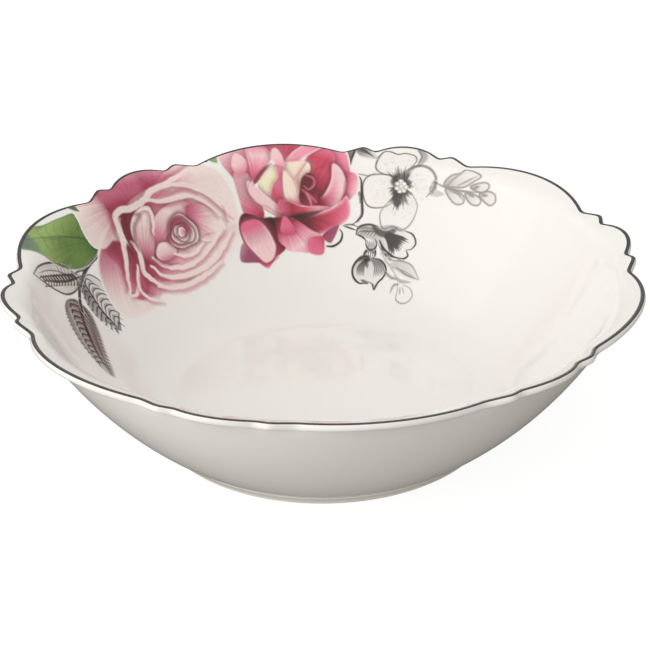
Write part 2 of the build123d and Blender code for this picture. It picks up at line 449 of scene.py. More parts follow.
wall_section = np.vstack([inside[::-1], edge[1:], outside])
edge_point = len(inside) + 5  # the outermost point of the edge's upper round
wall_weights = follow_weights(wall_section, edge_point)
glazed_wall = turned("glazed_wall", wall_section, wall_weights, directions, glazed_porcelain)
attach(glazed_wall, "root")
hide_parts("bowl_body", "inner_glaze", "outer_glaze")

# ---------------------------------------------------------------------------------------------
# The foot ring. Porcelain of the same body, drawn in towards the table, glazed outside and in,
# with a flat standing face that is wiped bare before firing and polished after it.
# ---------------------------------------------------------------------------------------------
foot_radius = 67.7
foot_width = 5.0
foot_inner = foot_radius - foot_width
foot_draft = 1.2
standing_round = 0.7
flare_out, flare_up = 0.6, 0.9  # from the standing round to where the outside slopes up
bare_level, bare_fade = 1.0, 0.35

foot_section = np.vstack(
    [
        [(foot_inner - foot_draft, foot_height)],
        arc(
            (foot_inner + standing_round, standing_round),
            (foot_inner, standing_round),
            (foot_inner + standing_round, 0),
            4,
        ),
        arc(
            (foot_radius - standing_round, standing_round),
            (foot_radius - standing_round, 0),
            (foot_radius, standing_round),
            4,
        ),
        np.linspace((foot_radius + flare_out, standing_round + flare_up), (foot_top, foot_height), 5),
        [(foot_inner - foot_draft, foot_height)],
    ]
)[::-1]
foot_glaze, tree, shader = glazed("foot_glaze", (0.86, 0.84, 0.8), (0.82, 0.79, 0.74))
skin_color = shader.inputs["Base Color"].links[0].from_socket
skin_rough = shader.inputs["Roughness"].links[0].from_socket
where = node(tree, "ShaderNodeTexCoord").outputs["Object"]
level = node(tree, "ShaderNodeSeparateXYZ", {0: where}).outputs["Z"]
wander = maths(tree, "MULTIPLY", noise(tree, where, 60.0, 2.0), 0.5 * MM)
wiped = {1: bare_level * MM, 2: (bare_level + bare_fade) * MM, 3: 1.0, 4: 0.0}
wiped["Value"] = maths(tree, "ADD", level, wander)
bare = node(tree, "ShaderNodeMapRange", wiped).outputs[0]
biscuit = (0.74, 0.71, 0.65, 1)
tree.links.new(mix(tree, bare, skin_color, biscuit), shader.inputs["Base Color"])
rough = node(tree, "ShaderNodeMix", {0: bare, 2: skin_rough, 3: 0.6}).outputs[0]
tree.links.new(rough, shader.inputs["Roughness"])
foot = turned("foot", foot_section, [0] * len(foot_section), even_directions, foot_glaze)
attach(foot, "root")
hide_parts("foot_ring")

# ---------------------------------------------------------------------------------------------
# The glaze under the base. A thin disc of glaze poured inside the foot ring, turned up where it
# meets the ring.
# ---------------------------------------------------------------------------------------------
under_radius = foot_inner - foot_draft * 0.8
under_fillet = 1.2
under_film = 0.25
under_level = foot_height - under_film
under_section = np.vstack(
    [
        [(0, foot_height), (under_radius, foot_height)],
        arc(
            (under_radius - under_fillet, under_level - under_fillet),
            (under_radius, under_level - under_fillet),
            (under_radius - under_fillet, under_level),
            5,
        ),
        [(under_radius / 2, under_level), (0, under_level)],
    ]
)[::-1]
under_glaze, _, _ = glazed("under_glaze", (0.84, 0.82, 0.78), (0.8, 0.77, 0.71), 0.05)
under_pool = turned("under_pool", under_section, [0] * len(under_section), even_directions, under_glaze)
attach(under_pool, "root")
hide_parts("base_glaze")

# ---------------------------------------------------------------------------------------------
# The platinum band. Liquid platinum lustre, brushed over the lip's edge by hand and fired: thin,
# bright, and a little uneven where the brush turned at the beads. Its colour is set near black,
# a painted dark reflection that stands in for the bright metal mirroring a dark studio.
# ---------------------------------------------------------------------------------------------
band_over = 0.8
band_turn = 62.0
band_lift = 0.03

band_start = top_round - lip_down * (edge_top_round + band_lift)
band_angle = math.radians(band_turn)
band_end = top_round + (lip_out * math.sin(band_angle) - lip_down * math.cos(band_angle)) * (
    edge_top_round + band_lift
)
band_crest = arc(top_round, band_start, band_end, 8)
band_under = arc(
    top_round,
    toward(top_round, band_end, edge_top_round - band_lift),
    toward(top_round, band_start, edge_top_round - band_lift),
    8,
)
band_section = np.vstack(
    [
        [band_start - lip_out * band_over],
        band_crest,
        band_under,
        [band_under[-1] - lip_out * band_over, band_start - lip_out * band_over],
    ]
)
# Near-black base colour: a painted dark reflection, standing in for bright platinum mirroring a dark studio.
platinum, tree, shader = material("fired_platinum", (0.1, 0.1, 0.1), 0.16)
shader.inputs["Metallic"].default_value = 1.0
where = node(tree, "ShaderNodeTexCoord").outputs["Object"]
brushed = noise(tree, where, 260.0, 3.0)
# The noise mixes two near-black tones: uneven brushing laid over the painted dark reflection.
tree.links.new(
    mix(tree, brushed, (0.05, 0.05, 0.052, 1), (0.16, 0.155, 0.15, 1)), shader.inputs["Base Color"]
)
tree.links.new(maths(tree, "MULTIPLY_ADD", brushed, 0.16, 0.1), shader.inputs["Roughness"])
platinum_band = turned("platinum_band", band_section, [1] * len(band_section), directions, platinum)
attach(platinum_band, "root")
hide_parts("rim_band")

# ---------------------------------------------------------------------------------------------
# The pink rose. A full-blown cabbage rose in pale pink and wine-red ceramic inks, screened on
# film, slid on over the glaze and fired, so it lies smooth and follows every flute of the wall.
# Sheets are drawn flat in millimetres: across from a starting direction, and down from the rim.
# ---------------------------------------------------------------------------------------------
print_radius = 108.0  # where a sheet's width is measured round the bowl
print_top = edge_top_round + band_over + 0.05  # the sheets are cut just below the platinum
film_lift, layer_lift = 0.04, 0.012
bare_cover = 0.02  # less ink than this is left off the bowl
inside_run = np.r_[0, np.cumsum(np.hypot(*np.diff(inside, axis=0).T))]
inside_follow = wall_weights[len(inside) - 1 :: -1]
above_section = (rim_radius - inside[0, 0]) / lip_out[0]


def tint(red, green, blue):
    """A colour as the eye sees it, from 0 to 1, as light."""
    return np.array([red, green, blue]) ** 2.2


def soft_line(points, closed=False, steps=7):
    """A smooth line through a few given points."""
    p = np.asarray(points, float)
    if closed:
        p = np.vstack([p[-1], p, p[0], p[1]])
    else:
        p = np.vstack([2 * p[0] - p[1], p, 2 * p[-1] - p[-2]])
    a, b, c, d = p[:-3, None], p[1:-2, None], p[2:-1, None], p[3:, None]
    t = (np.arange(steps) / steps)[None, :, None]
    curve = b + 0.5 * t * (c - a + t * (2 * a - 5 * b + 4 * c - d + t * (3 * (b - c) + d - a)))
    return np.vstack([curve.reshape(-1, 2), p[-2]])


def ease(low, high, value):
    """A soft step from 0 to 1."""
    t = np.clip((value - low) / (high - low), 0, 1)
    return t * t * (3 - 2 * t)


class Sheet:
    """A transfer sheet: a fine flat grid, painted in layers of colour and cover, then laid on."""

    def __init__(self, start, left, right, top, bottom, grain, seed):
        self.across = np.arange(left, right, grain)
        self.down = np.arange(max(top, print_top), bottom, grain)
        self.x, self.laid = np.meshgrid(self.across, self.down)
        self.start = math.radians(start)
        self.rise = rise_at(self.start - self.x / print_radius)
        follow = np.interp(self.laid - above_section, inside_run, inside_follow)
        self.y = self.laid - follow * self.rise / lip_out[0]
        self.color = np.ones(self.x.shape + (3,))
        self.cover = np.zeros(self.x.shape)
        self.dice = np.random.default_rng(seed)

    def around(self, line, margin):
        """The part of the sheet near a line."""
        low, high = line.min(axis=0) - margin, line.max(axis=0) + margin
        first, last = np.searchsorted(self.across, (low[0], high[0]))
        top, bottom = np.searchsorted(self.down, (low[1] - 4, high[1] + 4))
        return slice(top, bottom), slice(first, last)

    def paint(self, part, color, amount):
        """Lay a colour over what is there."""
        amount = amount[..., None]
        before = self.cover[part][..., None] * (1 - amount)
        total = amount + before
        mixed = (color * amount + self.color[part] * before) / np.maximum(total, 1e-6)
        self.color[part] = np.where(total > 1e-6, mixed, self.color[part])
        self.cover[part] = total[..., 0]


def reach_of(sheet, part, line):
    """For every spot in a part: its distance to a line, and how far along the line that is."""
    start, step = line[:-1], np.diff(line, axis=0)
    length = np.hypot(*step.T)
    start, step, length = start[length > 1e-6], step[length > 1e-6], length[length > 1e-6]
    x, y = sheet.x[part][..., None], sheet.y[part][..., None]
    t = np.clip(((x - start[:, 0]) * step[:, 0] + (y - start[:, 1]) * step[:, 1]) / length**2, 0, 1)
    far = np.hypot(x - start[:, 0] - t * step[:, 0], y - start[:, 1] - t * step[:, 1])
    near = far.argmin(axis=-1)
    share = np.take_along_axis(t, near[..., None], -1)[..., 0]
    run = np.r_[0, np.cumsum(length)]
    return far.min(axis=-1), (run[near] + share * length[near]) / run[-1]


def within(sheet, part, loop):
    """Which spots of a part lie inside a closed loop."""
    x, y = sheet.x[part][..., None], sheet.y[part][..., None]
    a, b = loop[:-1], loop[1:]
    rise = np.where(b[:, 1] == a[:, 1], 1e-9, b[:, 1] - a[:, 1])
    crosses = ((a[:, 1] > y) != (b[:, 1] > y)) & (
        x < a[:, 0] + (y - a[:, 1]) * (b[:, 0] - a[:, 0]) / rise
    )
    return crosses.sum(axis=-1) % 2 == 1


def petal(sheet, points, root, tip, ramp, fade=(1, 1), veins=0.0, roll=None, shade=0.0, soft=0.5):
    """A petal or leaf: coloured from root to tip, veined, with a rolled edge and a cast shade."""
    loop = soft_line(points, closed=True)
    part = sheet.around(loop, 4.0)
    far, _ = reach_of(sheet, part, loop)
    depth = np.where(within(sheet, part, loop), far, -far)
    x, y = sheet.x[part], sheet.y[part]
    root, axis = np.asarray(root, float), np.subtract(tip, root)
    t = ((x - root[0]) * axis[0] + (y - root[1]) * axis[1]) / np.dot(axis, axis)
    places = np.linspace(0, 1, len(ramp))
    tones = np.array(ramp, float) ** 2.2
    color = np.stack([np.interp(t, places, tones[:, k]) for k in range(3)], axis=-1)
    if shade:
        outside_it = shade * np.exp(-((np.minimum(depth, 0) / 1.5) ** 2)) * (depth < 0)
        sheet.paint(part, tones.min(axis=0) * 0.45, outside_it * np.minimum(sheet.cover[part], 1))
    if veins:
        spokes = sheet.dice.random(181)
        fan = (np.arctan2(y - root[1], x - root[0]) / (2 * math.pi) + 0.5) * 180
        streak = np.interp(fan, np.arange(181), spokes) * (1 - ease(0.5, 1.15, t))
        color = color * (1 - veins * (streak**1.5)[..., None] * (1 - tones.min(axis=0)))
    if roll:
        width, tone = roll
        rim = np.exp(-((depth / width) ** 2)) * ease(0.1, 0.55, t)
        color += rim[..., None] * (tint(*tone) - color)
    strength = np.interp(t, [0, 1], fade)
    sheet.paint(part, color, ease(-soft, soft, depth) * strength)


def stroke(sheet, points, width, tone, strength=1.0, taper=(1, 1), soft=0.3, closed=False):
    """A brush stroke or pen line along a soft line, tapering to its ends."""
    line = soft_line(points, closed)
    part = sheet.around(line, width / 2 + soft + 0.5)
    if not sheet.x[part].size:
        return
    far, along = reach_of(sheet, part, line)
    swell = np.interp(along, [0, 0.3, 0.7, 1], [taper[0], 1, 1, taper[1]]) * width / 2
    sheet.paint(part, tint(*tone), ease(-soft, soft, swell - far) * strength)


def ruffle(sheet, points, width, pale, dark, waves, soft=0.4):
    """A rolled, crinkled petal edge: a pale ribbon with a dark crease along its lower side."""
    line = soft_line(points, steps=12)
    run = np.r_[0, np.cumsum(np.hypot(*np.diff(line, axis=0).T))]
    ahead = np.gradient(line, axis=0)
    side = np.column_stack([-ahead[:, 1], ahead[:, 0]]) / np.hypot(*ahead.T)[:, None]
    knots = np.arange(0, run[-1] + 3, 1.6)
    crinkle = np.interp(run, knots, sheet.dice.normal(0, waves, int((run[-1] + 3) / 1.6) + 1))
    line = (line + side * crinkle[:, None])[::3]
    crease = line + side[::3] * width * 0.7
    stroke(sheet, crease, width * 1.2, dark, 0.62, (0.3, 0.3), soft * 3.5)
    stroke(sheet, line, width, pale, 0.97, (0.5, 0.4), soft)


def lay_tree():
    """Lay a flat sheet on the inside of the bowl, along its section and out with its scallops."""
    tree, feed = geometry_tree(
        "lay_on_the_glaze",
        [
            ("Section", "NodeSocketObject"),
            ("Start", "NodeSocketFloat"),
            ("Radius", "NodeSocketFloat"),
            ("Above", "NodeSocketFloat"),
            ("Lift", "NodeSocketFloat"),
            ("Climb", "NodeSocketFloat"),
            ("Finish", "NodeSocketMaterial"),
        ],
    )
    profile = node(tree, "GeometryNodeObjectInfo", {"Object": feed["Section"]}).outputs["Geometry"]
    curve = node(tree, "GeometryNodeMeshToCurve", {0: profile}).outputs[0]
    flat = node(tree, "ShaderNodeSeparateXYZ", {0: node(tree, "GeometryNodeInputPosition").outputs[0]})
    run = maths(tree, "SUBTRACT", flat.outputs["Y"], feed["Above"])
    found = node(
        tree,
        "GeometryNodeSampleCurve",
        {"Curves": curve, "Value": named(tree, "follow"), "Length": run},
        mode="LENGTH",
        data_type="FLOAT",
        use_all_curves=True,
    )
    spot = node(tree, "ShaderNodeSeparateXYZ", {0: found.outputs["Position"]}).outputs
    ahead = node(tree, "ShaderNodeSeparateXYZ", {0: found.outputs["Tangent"]}).outputs
    slide = maths(tree, "MULTIPLY", found.outputs["Value"], named(tree, "rise"))
    radius = maths(tree, "ADD", spot["X"], slide)
    radius = maths(tree, "MULTIPLY_ADD", ahead["Z"], feed["Lift"], radius)
    level = maths(tree, "MULTIPLY_ADD", slide, feed["Climb"], spot["Z"])
    down = maths(tree, "MULTIPLY", ahead["X"], feed["Lift"])
    level = maths(tree, "SUBTRACT", level, down)
    turn = maths(tree, "SUBTRACT", feed["Start"], maths(tree, "DIVIDE", flat.outputs["X"], feed["Radius"]))
    x = maths(tree, "MULTIPLY", radius, maths(tree, "COSINE", turn))
    y = maths(tree, "MULTIPLY", radius, maths(tree, "SINE", turn))
    place = node(tree, "ShaderNodeCombineXYZ", {"X": x, "Y": y, "Z": level}).outputs[0]
    laid = node(tree, "GeometryNodeSetPosition", {"Geometry": feed["Geometry"], "Position": place})
    end_tree(tree, laid.outputs[0], feed["Finish"])
    return tree


def fired_print(name):
    """Ceramic ink under the same gloss: bare glaze where nothing is printed."""
    made, tree, shader = glazed(name, porcelain_thin, porcelain_pooled)
    bare = shader.inputs["Base Color"].links[0].from_socket
    ink = node(tree, "ShaderNodeAttribute", {}, attribute_name="print")
    where = node(tree, "ShaderNodeTexCoord").outputs["Object"]
    dots = maths(tree, "MULTIPLY_ADD", noise(tree, where, 900.0, 2.0), 0.16, 0.92)
    grain = node(tree, "ShaderNodeCombineColor", {0: dots, 1: dots, 2: dots}).outputs[0]
    grained = mix(tree, 1.0, ink.outputs["Color"], grain, "MULTIPLY")
    tree.links.new(mix(tree, ink.outputs["Alpha"], bare, grained), shader.inputs["Base Color"])
    return made


lay_on = lay_tree()
guide_edges = [(k, k + 1) for k in range(len(inside) - 1)]
inside_guide = section_piece("inside_guide", inside, inside_follow, guide_edges)


def lay(sheet, name, node_name, finish, layer=0):
    """Lay a painted sheet on the bowl, without the parts that carry no ink."""
    index = np.arange(sheet.cover.size).reshape(sheet.cover.shape)
    inked = sheet.cover > bare_cover
    keep = inked[:-1, :-1] | inked[1:, :-1] | inked[:-1, 1:] | inked[1:, 1:]
    faces = np.stack([index[:-1, :-1], index[1:, :-1], index[1:, 1:], index[:-1, 1:]], -1)[keep]
    used, fresh = np.unique(faces, return_inverse=True)
    flat = np.column_stack([sheet.x.ravel(), sheet.laid.ravel(), np.zeros(sheet.x.size)])[used] * MM
    rise = sheet.rise.ravel()[used] * MM
    piece = new_piece(name + "_sheet", flat, faces=fresh.reshape(-1, 4).tolist(), rise=rise)
    ink = np.column_stack([sheet.color.reshape(-1, 3), sheet.cover.ravel()])[used]
    printed = piece.data.attributes.new("print", "FLOAT_COLOR", "POINT")
    printed.data.foreach_set("color", ink.ravel())
    made = run_tree(
        piece,
        lay_on,
        name,
        section=inside_guide,
        start=sheet.start,
        radius=print_radius * MM,
        above=above_section * MM,
        lift=(film_lift + layer_lift * layer) * MM,
        climb=scallop_climb,
        finish=finish,
    )
    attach(made, "root")
    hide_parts(node_name)


blush_pale, blush, rose_pink = (0.94, 0.87, 0.85), (0.91, 0.77, 0.78), (0.84, 0.54, 0.62)
rose_red, wine, dark_wine = (0.74, 0.35, 0.46), (0.62, 0.20, 0.31), (0.45, 0.12, 0.18)

rose = Sheet(178, 36, 132, 0, 62, 0.29, 11)
petal(
    rose,
    [(60, 6), (70, -3), (100, -6), (114, 3), (123, 18), (124, 34), (117, 46), (100, 56), (80, 60),
     (60, 59), (48, 55), (44, 46), (54, 30)],
    (90, 26), (90, 60), [blush_pale, blush_pale], fade=(0.8, 0.2), soft=3.0,
)
petal(
    rose,
    [(50, 26), (43, 34), (39, 47), (43, 55), (55, 57.5), (67, 56), (73, 50), (71, 38), (67, 28), (58, 23)],
    (62, 22), (47, 56), [wine, rose_red, rose_pink, blush, blush_pale, blush_pale], veins=0.45, soft=1.0,
    fade=(1, 0.75),
)
petal(
    rose,
    [(52, 0), (60, -5), (72, -4), (76, 6), (68, 18), (60, 24), (54, 25), (49, 21), (48, 13), (50, 6)],
    (74, 12), (49, 14), [wine, rose_red, blush, blush_pale, blush_pale], veins=0.35, shade=0.3, soft=0.6,
)
petal(
    rose,
    [(65, 10), (70, 0), (80, -8), (91, -9), (91, 2), (89, 9), (78, 12), (70, 17)],
    (77, 14), (82, -7), [wine, rose_red, rose_red, rose_pink, blush], veins=0.3, shade=0.3,
)
petal(
    rose,
    [(88, 10), (89, 0), (93, -8), (100, -5), (105, 1), (106, 7), (98, 9)],
    (91, 11), (101, -3), [wine, rose_red, rose_pink, blush], veins=0.3, shade=0.3,
)
petal(
    rose,
    [(88, 12), (97, 6), (106, -1), (114, 3), (122, 11), (126, 23), (126, 34), (122, 32), (118, 23),
     (110, 15), (100, 12)],
    (99, 14), (125, 12), [rose_pink, blush, blush_pale, blush_pale, blush_pale], veins=0.15, soft=0.9,
    shade=0.25,
)
petal(
    rose,
    [(72, 15), (84, 14), (93, 12), (106, 16), (114, 24), (118, 34), (112, 42), (100, 46), (86, 46),
     (76, 43), (70, 35), (68, 24)],
    (71, 24), (116, 33), [dark_wine, wine, rose_pink, blush, blush_pale, blush_pale], veins=0.25,
)
petal(
    rose,
    [(54, 46), (62, 38), (70, 34), (76, 42), (88, 46), (102, 46), (114, 40), (124, 34), (126, 42),
     (116, 50), (100, 55), (84, 55), (70, 54), (58, 52)],
    (84, 40), (92, 59), [wine, rose_pink, blush, blush_pale, blush_pale], veins=0.3, fade=(1, 0.35), soft=1.2,
)
petal(
    rose,
    [(54, 27), (62, 25), (69, 30), (70, 40), (66, 48), (58, 50), (53, 45), (57, 36)],
    (69, 34), (54, 44), [dark_wine, wine, rose_red, rose_pink], veins=0.4, soft=1.2, fade=(1, 0.7),
)
petal(
    rose,
    [(74, 21), (79, 17), (86, 17), (85, 25), (82, 32), (78, 38), (74, 40), (72, 33), (72, 26)],
    (73, 38), (84, 18), [wine, rose_pink, blush, blush_pale, blush_pale], veins=0.35,
    roll=(1.4, blush_pale), shade=0.6,
)
petal(
    rose,
    [(85, 24), (91, 20), (101, 18.5), (105, 22), (99, 27), (90, 31), (82, 36), (82, 30)],
    (83, 34), (98, 19), [rose_red, rose_pink, blush, blush_pale, blush], veins=0.3, roll=(0.8, blush),
    shade=0.5,
)
petal(
    rose,
    [(104, 21), (111, 23), (117, 29), (119, 35), (113, 39), (106, 38), (103, 32), (102, 25)],
    (102, 26), (118, 34), [rose_red, rose_pink, blush, blush_pale, blush_pale], veins=0.4,
    roll=(1.0, blush_pale), shade=0.45,
)
petal(
    rose,
    [(80, 37), (84, 33.5), (89, 35), (91, 39), (86, 41.5), (81, 40.5)],
    (85, 42), (85, 34), [rose_red, blush, blush_pale], roll=(0.7, blush_pale), shade=0.6,
)
for size, turn in ((1.0, 0), (0.74, 50), (0.5, 110), (0.28, 170)):
    ring = []
    for k in range(9):
        a = math.radians(40 * k + turn)
        bump = 1 + 0.12 * math.sin(3 * a + turn)
        ring.append((97.5 + 7.6 * size * bump * math.cos(a), 32 + 7.4 * size * bump * math.sin(a)))
    lean = math.radians(turn + 215)
    petal(
        rose, ring,
        (97.5 + 8 * size * math.cos(lean), 32 + 8 * size * math.sin(lean)),
        (97.5 - 7 * size * math.cos(lean), 32 - 7 * size * math.sin(lean)),
        [wine, rose_pink, blush, blush_pale], veins=0.4, roll=(0.6, blush_pale), shade=0.8, soft=0.35,
    )
for points, width in (
    ([(111, 5), (104, 8), (97, 10), (90, 11), (84, 14), (78, 15), (71, 14), (68, 16), (67, 21), (66, 26),
      (63, 33), (59, 39), (56, 44), (53, 47)],
     3.0),
    ([(70, 28), (71.5, 33), (70, 38), (68.5, 42), (71, 47), (75, 51)], 2.6),
    ([(53, 48), (57, 48.5), (61, 46), (64, 42), (67, 38)], 2.0),
    ([(61, 46), (61, 50), (64, 54), (70, 57)], 1.8),
    ([(86, 14), (93, 16.5), (101, 17), (108, 18), (114, 23), (118, 29)], 2.4),
    ([(94, 11), (102, 11.5), (110, 15), (116, 20), (121, 27), (122, 32)], 2.2),
    ([(78, 18.5), (82, 17), (85.5, 18.5), (85.5, 23), (83, 29)], 1.6),
    ([(77, 38), (81, 43), (88, 46), (96, 46.5), (104, 44), (111, 40), (117, 35)], 2.3),
    ([(74, 41), (78, 47), (86, 50), (95, 50.5), (105, 49), (114, 44), (121, 37)], 2.4),
    ([(72, 50), (80, 53.5), (90, 54.5), (101, 53), (112, 49)], 2.4),
    ([(89, 40), (95, 42.5), (101, 42), (106, 39)], 1.7),
):
    deep = wine if width > 2.5 or points[0][1] < 20 else rose_red
    ruffle(rose, points, width, blush_pale, deep, 0.14)
for points, width, tone in (
    ([(69, 17), (70, 25), (69.5, 32)], 2.4, dark_wine),
    ([(73, 17), (80, 19), (75, 23), (72, 30), (73, 36)], 2.0, dark_wine),
    ([(66, 29), (65, 37), (60, 44)], 2.0, wine),
    ([(64, 43), (63, 48), (66, 52)], 1.8, wine),
    ([(73, 42), (75, 47), (80, 50)], 2.2, wine),
    ([(82, 34), (78, 39), (82, 43), (89, 44.5)], 1.2, wine),
    ([(82, 51), (88, 52.5), (95, 52.5)], 1.0, wine),
    ([(91, 13.5), (97, 14.5), (104, 14.5), (110, 18)], 1.3, rose_red),
    ([(102, 21), (104, 26), (106, 24)], 0.8, rose_red),
    ([(105, 37), (108, 36), (113, 36)], 0.8, rose_red),
    ([(120, 25), (121, 29), (124, 32)], 1.1, rose_red),
):
    stroke(rose, points, width, tone, 0.6, (0.3, 0.2), 0.9)
petal(rose, [(52, -3), (62, -4), (60, 1), (55, 4)], (58, 3), (57, -3), [blush, rose_pink], soft=0.6)
petal(rose, [(50.5, -3), (55.5, -3), (54, 3), (52.5, 6), (51, 3)], (53, 6), (53, -3),
      [(0.22, 0.34, 0.2), (0.35, 0.46, 0.3)])
lay(rose, "pink_rose", "pink_rose_print", fired_print("pink_inks"), 1)

# ---------------------------------------------------------------------------------------------
# The crimson rose. A half-open rose in crimson, maroon and cream inks, from the same screens as
# the pink one, overlapping the rim so that the platinum band ends it.
# ---------------------------------------------------------------------------------------------
pale, pink, coral = (0.95, 0.80, 0.81), (0.95, 0.63, 0.71), (0.87, 0.43, 0.55)
red, crimson, maroon, blackish = (0.80, 0.28, 0.38), (0.66, 0.17, 0.26), (0.42, 0.10, 0.13), (0.2, 0.06, 0.07)
cream, butter, mauve, plum = (0.95, 0.89, 0.82), (0.96, 0.92, 0.79), (0.85, 0.64, 0.69), (0.60, 0.30, 0.42)

bloom = Sheet(116, 1, 66, 0, 57, 0.26, 12)
for points, root, tip, ramp, veins, roll, shade in (
    ([(9, -5), (20, -5), (20, 8), (18, 17), (13, 17), (10, 13), (7, 6)],
     (19, 12), (9, 0), [coral, coral, mauve, pale], 0.3, None, 0),
    ([(11, 12), (17, 13), (19, 22), (22, 31), (19, 35), (13, 32), (11.5, 24)],
     (21, 32), (12, 16), [crimson, coral, mauve, mauve], 0.35, None, 0.3),
    ([(14.5, 1.5), (17.5, 6), (17, 11), (13.5, 13), (11, 9.5), (12, 5)],
     (17, 13), (14, 2), [coral, pale, pale], 0.2, None, 0.2),
    ([(20, -6), (28, -6), (31, 0), (27, 9), (22, 16), (19, 17), (18.3, 8)],
     (20, 18), (25, -4), [crimson, coral, pink, pale, pink, red], 0.35, None, 0.35),
    ([(27, -6), (46, -6), (52, -2), (44, 4), (36, 9), (33, 12), (30, 9), (28, 3)],
     (33, 12), (38, -5), [maroon, red, red, crimson], 0.45, None, 0.3),
    ([(50, -3), (57, 1), (60, 9), (61, 17), (56, 18), (50, 10)],
     (50, 12), (60, 6), [coral, coral, pink], 0.3, None, 0),
    ([(58, 15), (64, 15.5), (64.5, 23), (62, 26), (58.5, 29), (57, 22)],
     (57, 20), (65, 22), [crimson, coral, pink, pale], 0.3, None, 0.2),
    ([(40, 22), (41, 12), (45, 4), (50, 2), (54, 6), (54, 14), (52, 21), (46, 28)],
     (43, 24), (52, 4), [maroon, crimson, red, red, coral], 0.4, (0.7, coral), 0.4),
    ([(33, 10.5), (36, 5.5), (41, 0.5), (46, -4), (51, -1), (46, 4.5), (41, 8), (37, 10)],
     (34, 11), (47, -2), [pale, pink, pink, coral], 0.3, (0.8, pale), 0.6),
    ([(45, 28), (50, 24.5), (53, 18), (53.5, 11), (57, 13), (59.3, 19), (58, 26), (53.5, 30), (48, 31),
      (44, 30.5)],
     (46, 24), (59.5, 21), [maroon, crimson, coral, pink, pale, pale], 0.35, (1.2, pale), 0.6),
    ([(21, 19), (24, 14), (28, 10.5), (33, 9.5), (42, 9.5), (44, 12), (42, 20), (40, 29), (35, 30),
      (30, 28), (25, 25)],
     (36, 31), (29, 9), [pink, cream, cream, butter], 0.2, (0.8, cream), 0.6),
    ([(21, 19), (24.5, 14), (29.5, 10), (31.5, 11.5), (30, 17), (28, 25), (25, 23.5)],
     (28, 26), (27, 11), [cream, butter, butter, butter], 0.15, (0.7, cream), 0.3),
    ([(29.5, 10), (32.5, 10), (32.3, 18), (31.5, 27), (31, 32), (27, 29.5), (26, 24), (27.5, 19), (30, 15.5)],
     (29, 31), (31, 9), [crimson, red, coral, coral, pink], 0.35, None, 0.4),
    ([(33, 13), (36, 16.5), (38, 20), (38.5, 27), (36, 28), (32.5, 25), (32, 18)],
     (36, 29), (34, 13), [pink, cream, cream, butter], 0.25, (0.6, butter), 0.45),
    ([(39, 17), (41, 13), (43, 10.5), (44, 13), (42, 17), (40, 22)],
     (39, 22), (43, 11), [coral, cream, butter], 0.3, None, 0.4),
    ([(28, 6.5), (29, 2), (30.8, 1), (32.5, 5), (33.2, 10.5), (31, 10.5), (29, 9)],
     (33, 11), (29, 2), [pink, pale, pale], 0.2, None, 0.5),
    ([(39, 22), (40, 17), (43, 14.5), (46, 16.5), (46.5, 21), (47, 27), (44, 30), (40, 29), (38.3, 26)],
     (40, 18), (46, 29), [maroon, maroon, crimson], 0.4, None, 0.3),
    ([(16.5, 16), (19, 18), (24, 23.5), (29, 28.5), (33.5, 33.5), (28, 33.5), (22, 28.5), (18, 25), (16, 20)],
     (33, 34), (17, 17), [mauve, pale, pale, pale], 0.15, (0.7, pale), 0.7),
    ([(29.5, 26), (34, 27), (40, 29.3), (47, 29.5), (53, 30.3), (52, 32.3), (45, 33), (38, 34),
      (32, 34.3), (28.5, 31)],
     (29, 31), (53, 31), [coral, crimson, red, pink, pink], 0.35, (0.5, pink), 0.5),
    ([(35, 34), (44, 33), (52, 31), (57, 28), (60, 25), (62, 31), (60.5, 36), (54, 40), (46, 42.5), (39, 41)],
     (38, 33), (58, 38), [blackish, maroon, crimson, red, coral], 0.35, (1.1, pink), 0.5),
    ([(25, 34), (30, 33.5), (36, 35), (43, 40), (49.5, 43.5), (49, 47), (43, 50.5), (37, 50), (31, 49),
      (26.5, 45), (24.5, 40)],
     (30, 34), (38, 51), [maroon, crimson, coral, pink, pale, pink], 0.35, None, 0.5),
    ([(42, 44), (49, 43.5), (49.5, 51), (44, 51.5), (41.5, 49)],
     (49, 44), (43, 51), [red, coral, coral], 0.3, None, 0.3),
    ([(49, 42.5), (54, 39), (57, 38.5), (53.5, 46), (50, 45)],
     (50, 42), (54, 45), [crimson, plum, plum], 0.3, None, 0.2),
    ([(30.5, 33.5), (33, 35), (35.5, 40.5), (31, 41), (28.5, 39.5)],
     (31, 34), (32, 42), [coral, coral, red], 0.3, None, 0.5),
    ([(8.5, 36), (12, 30), (20, 33), (26, 34), (27, 44), (30, 48), (24, 52), (19, 56), (14, 52), (10, 46)],
     (24, 34), (14, 50), [blackish, maroon, crimson, coral], 0.35, None, 0),
    ([(5.5, 51), (6.5, 46), (9, 43), (12, 46), (17, 52.5), (11, 52.5)],
     (14, 52), (6, 45), [plum, plum, (0.74, 0.55, 0.62)], 0.3, None, 0),
    ([(9.5, 36), (13, 33.5), (18.5, 34), (22.5, 39), (25, 46), (23, 51.5), (19, 53.5), (15, 50), (10.5, 43)],
     (15, 32), (20, 54), [coral, coral, mauve, pale, pale, pale], 0.2, (0.9, pale), 0.55),
    ([(1.5, -3), (7, -3), (6.3, 3), (5.5, 5.5), (3, 3)],
     (5, 6), (5, -3), [(0.5, 0.62, 0.36), (0.58, 0.68, 0.42)], 0.1, None, 0),
):
    petal(bloom, points, root, tip, ramp, veins=veins, roll=roll, shade=shade)
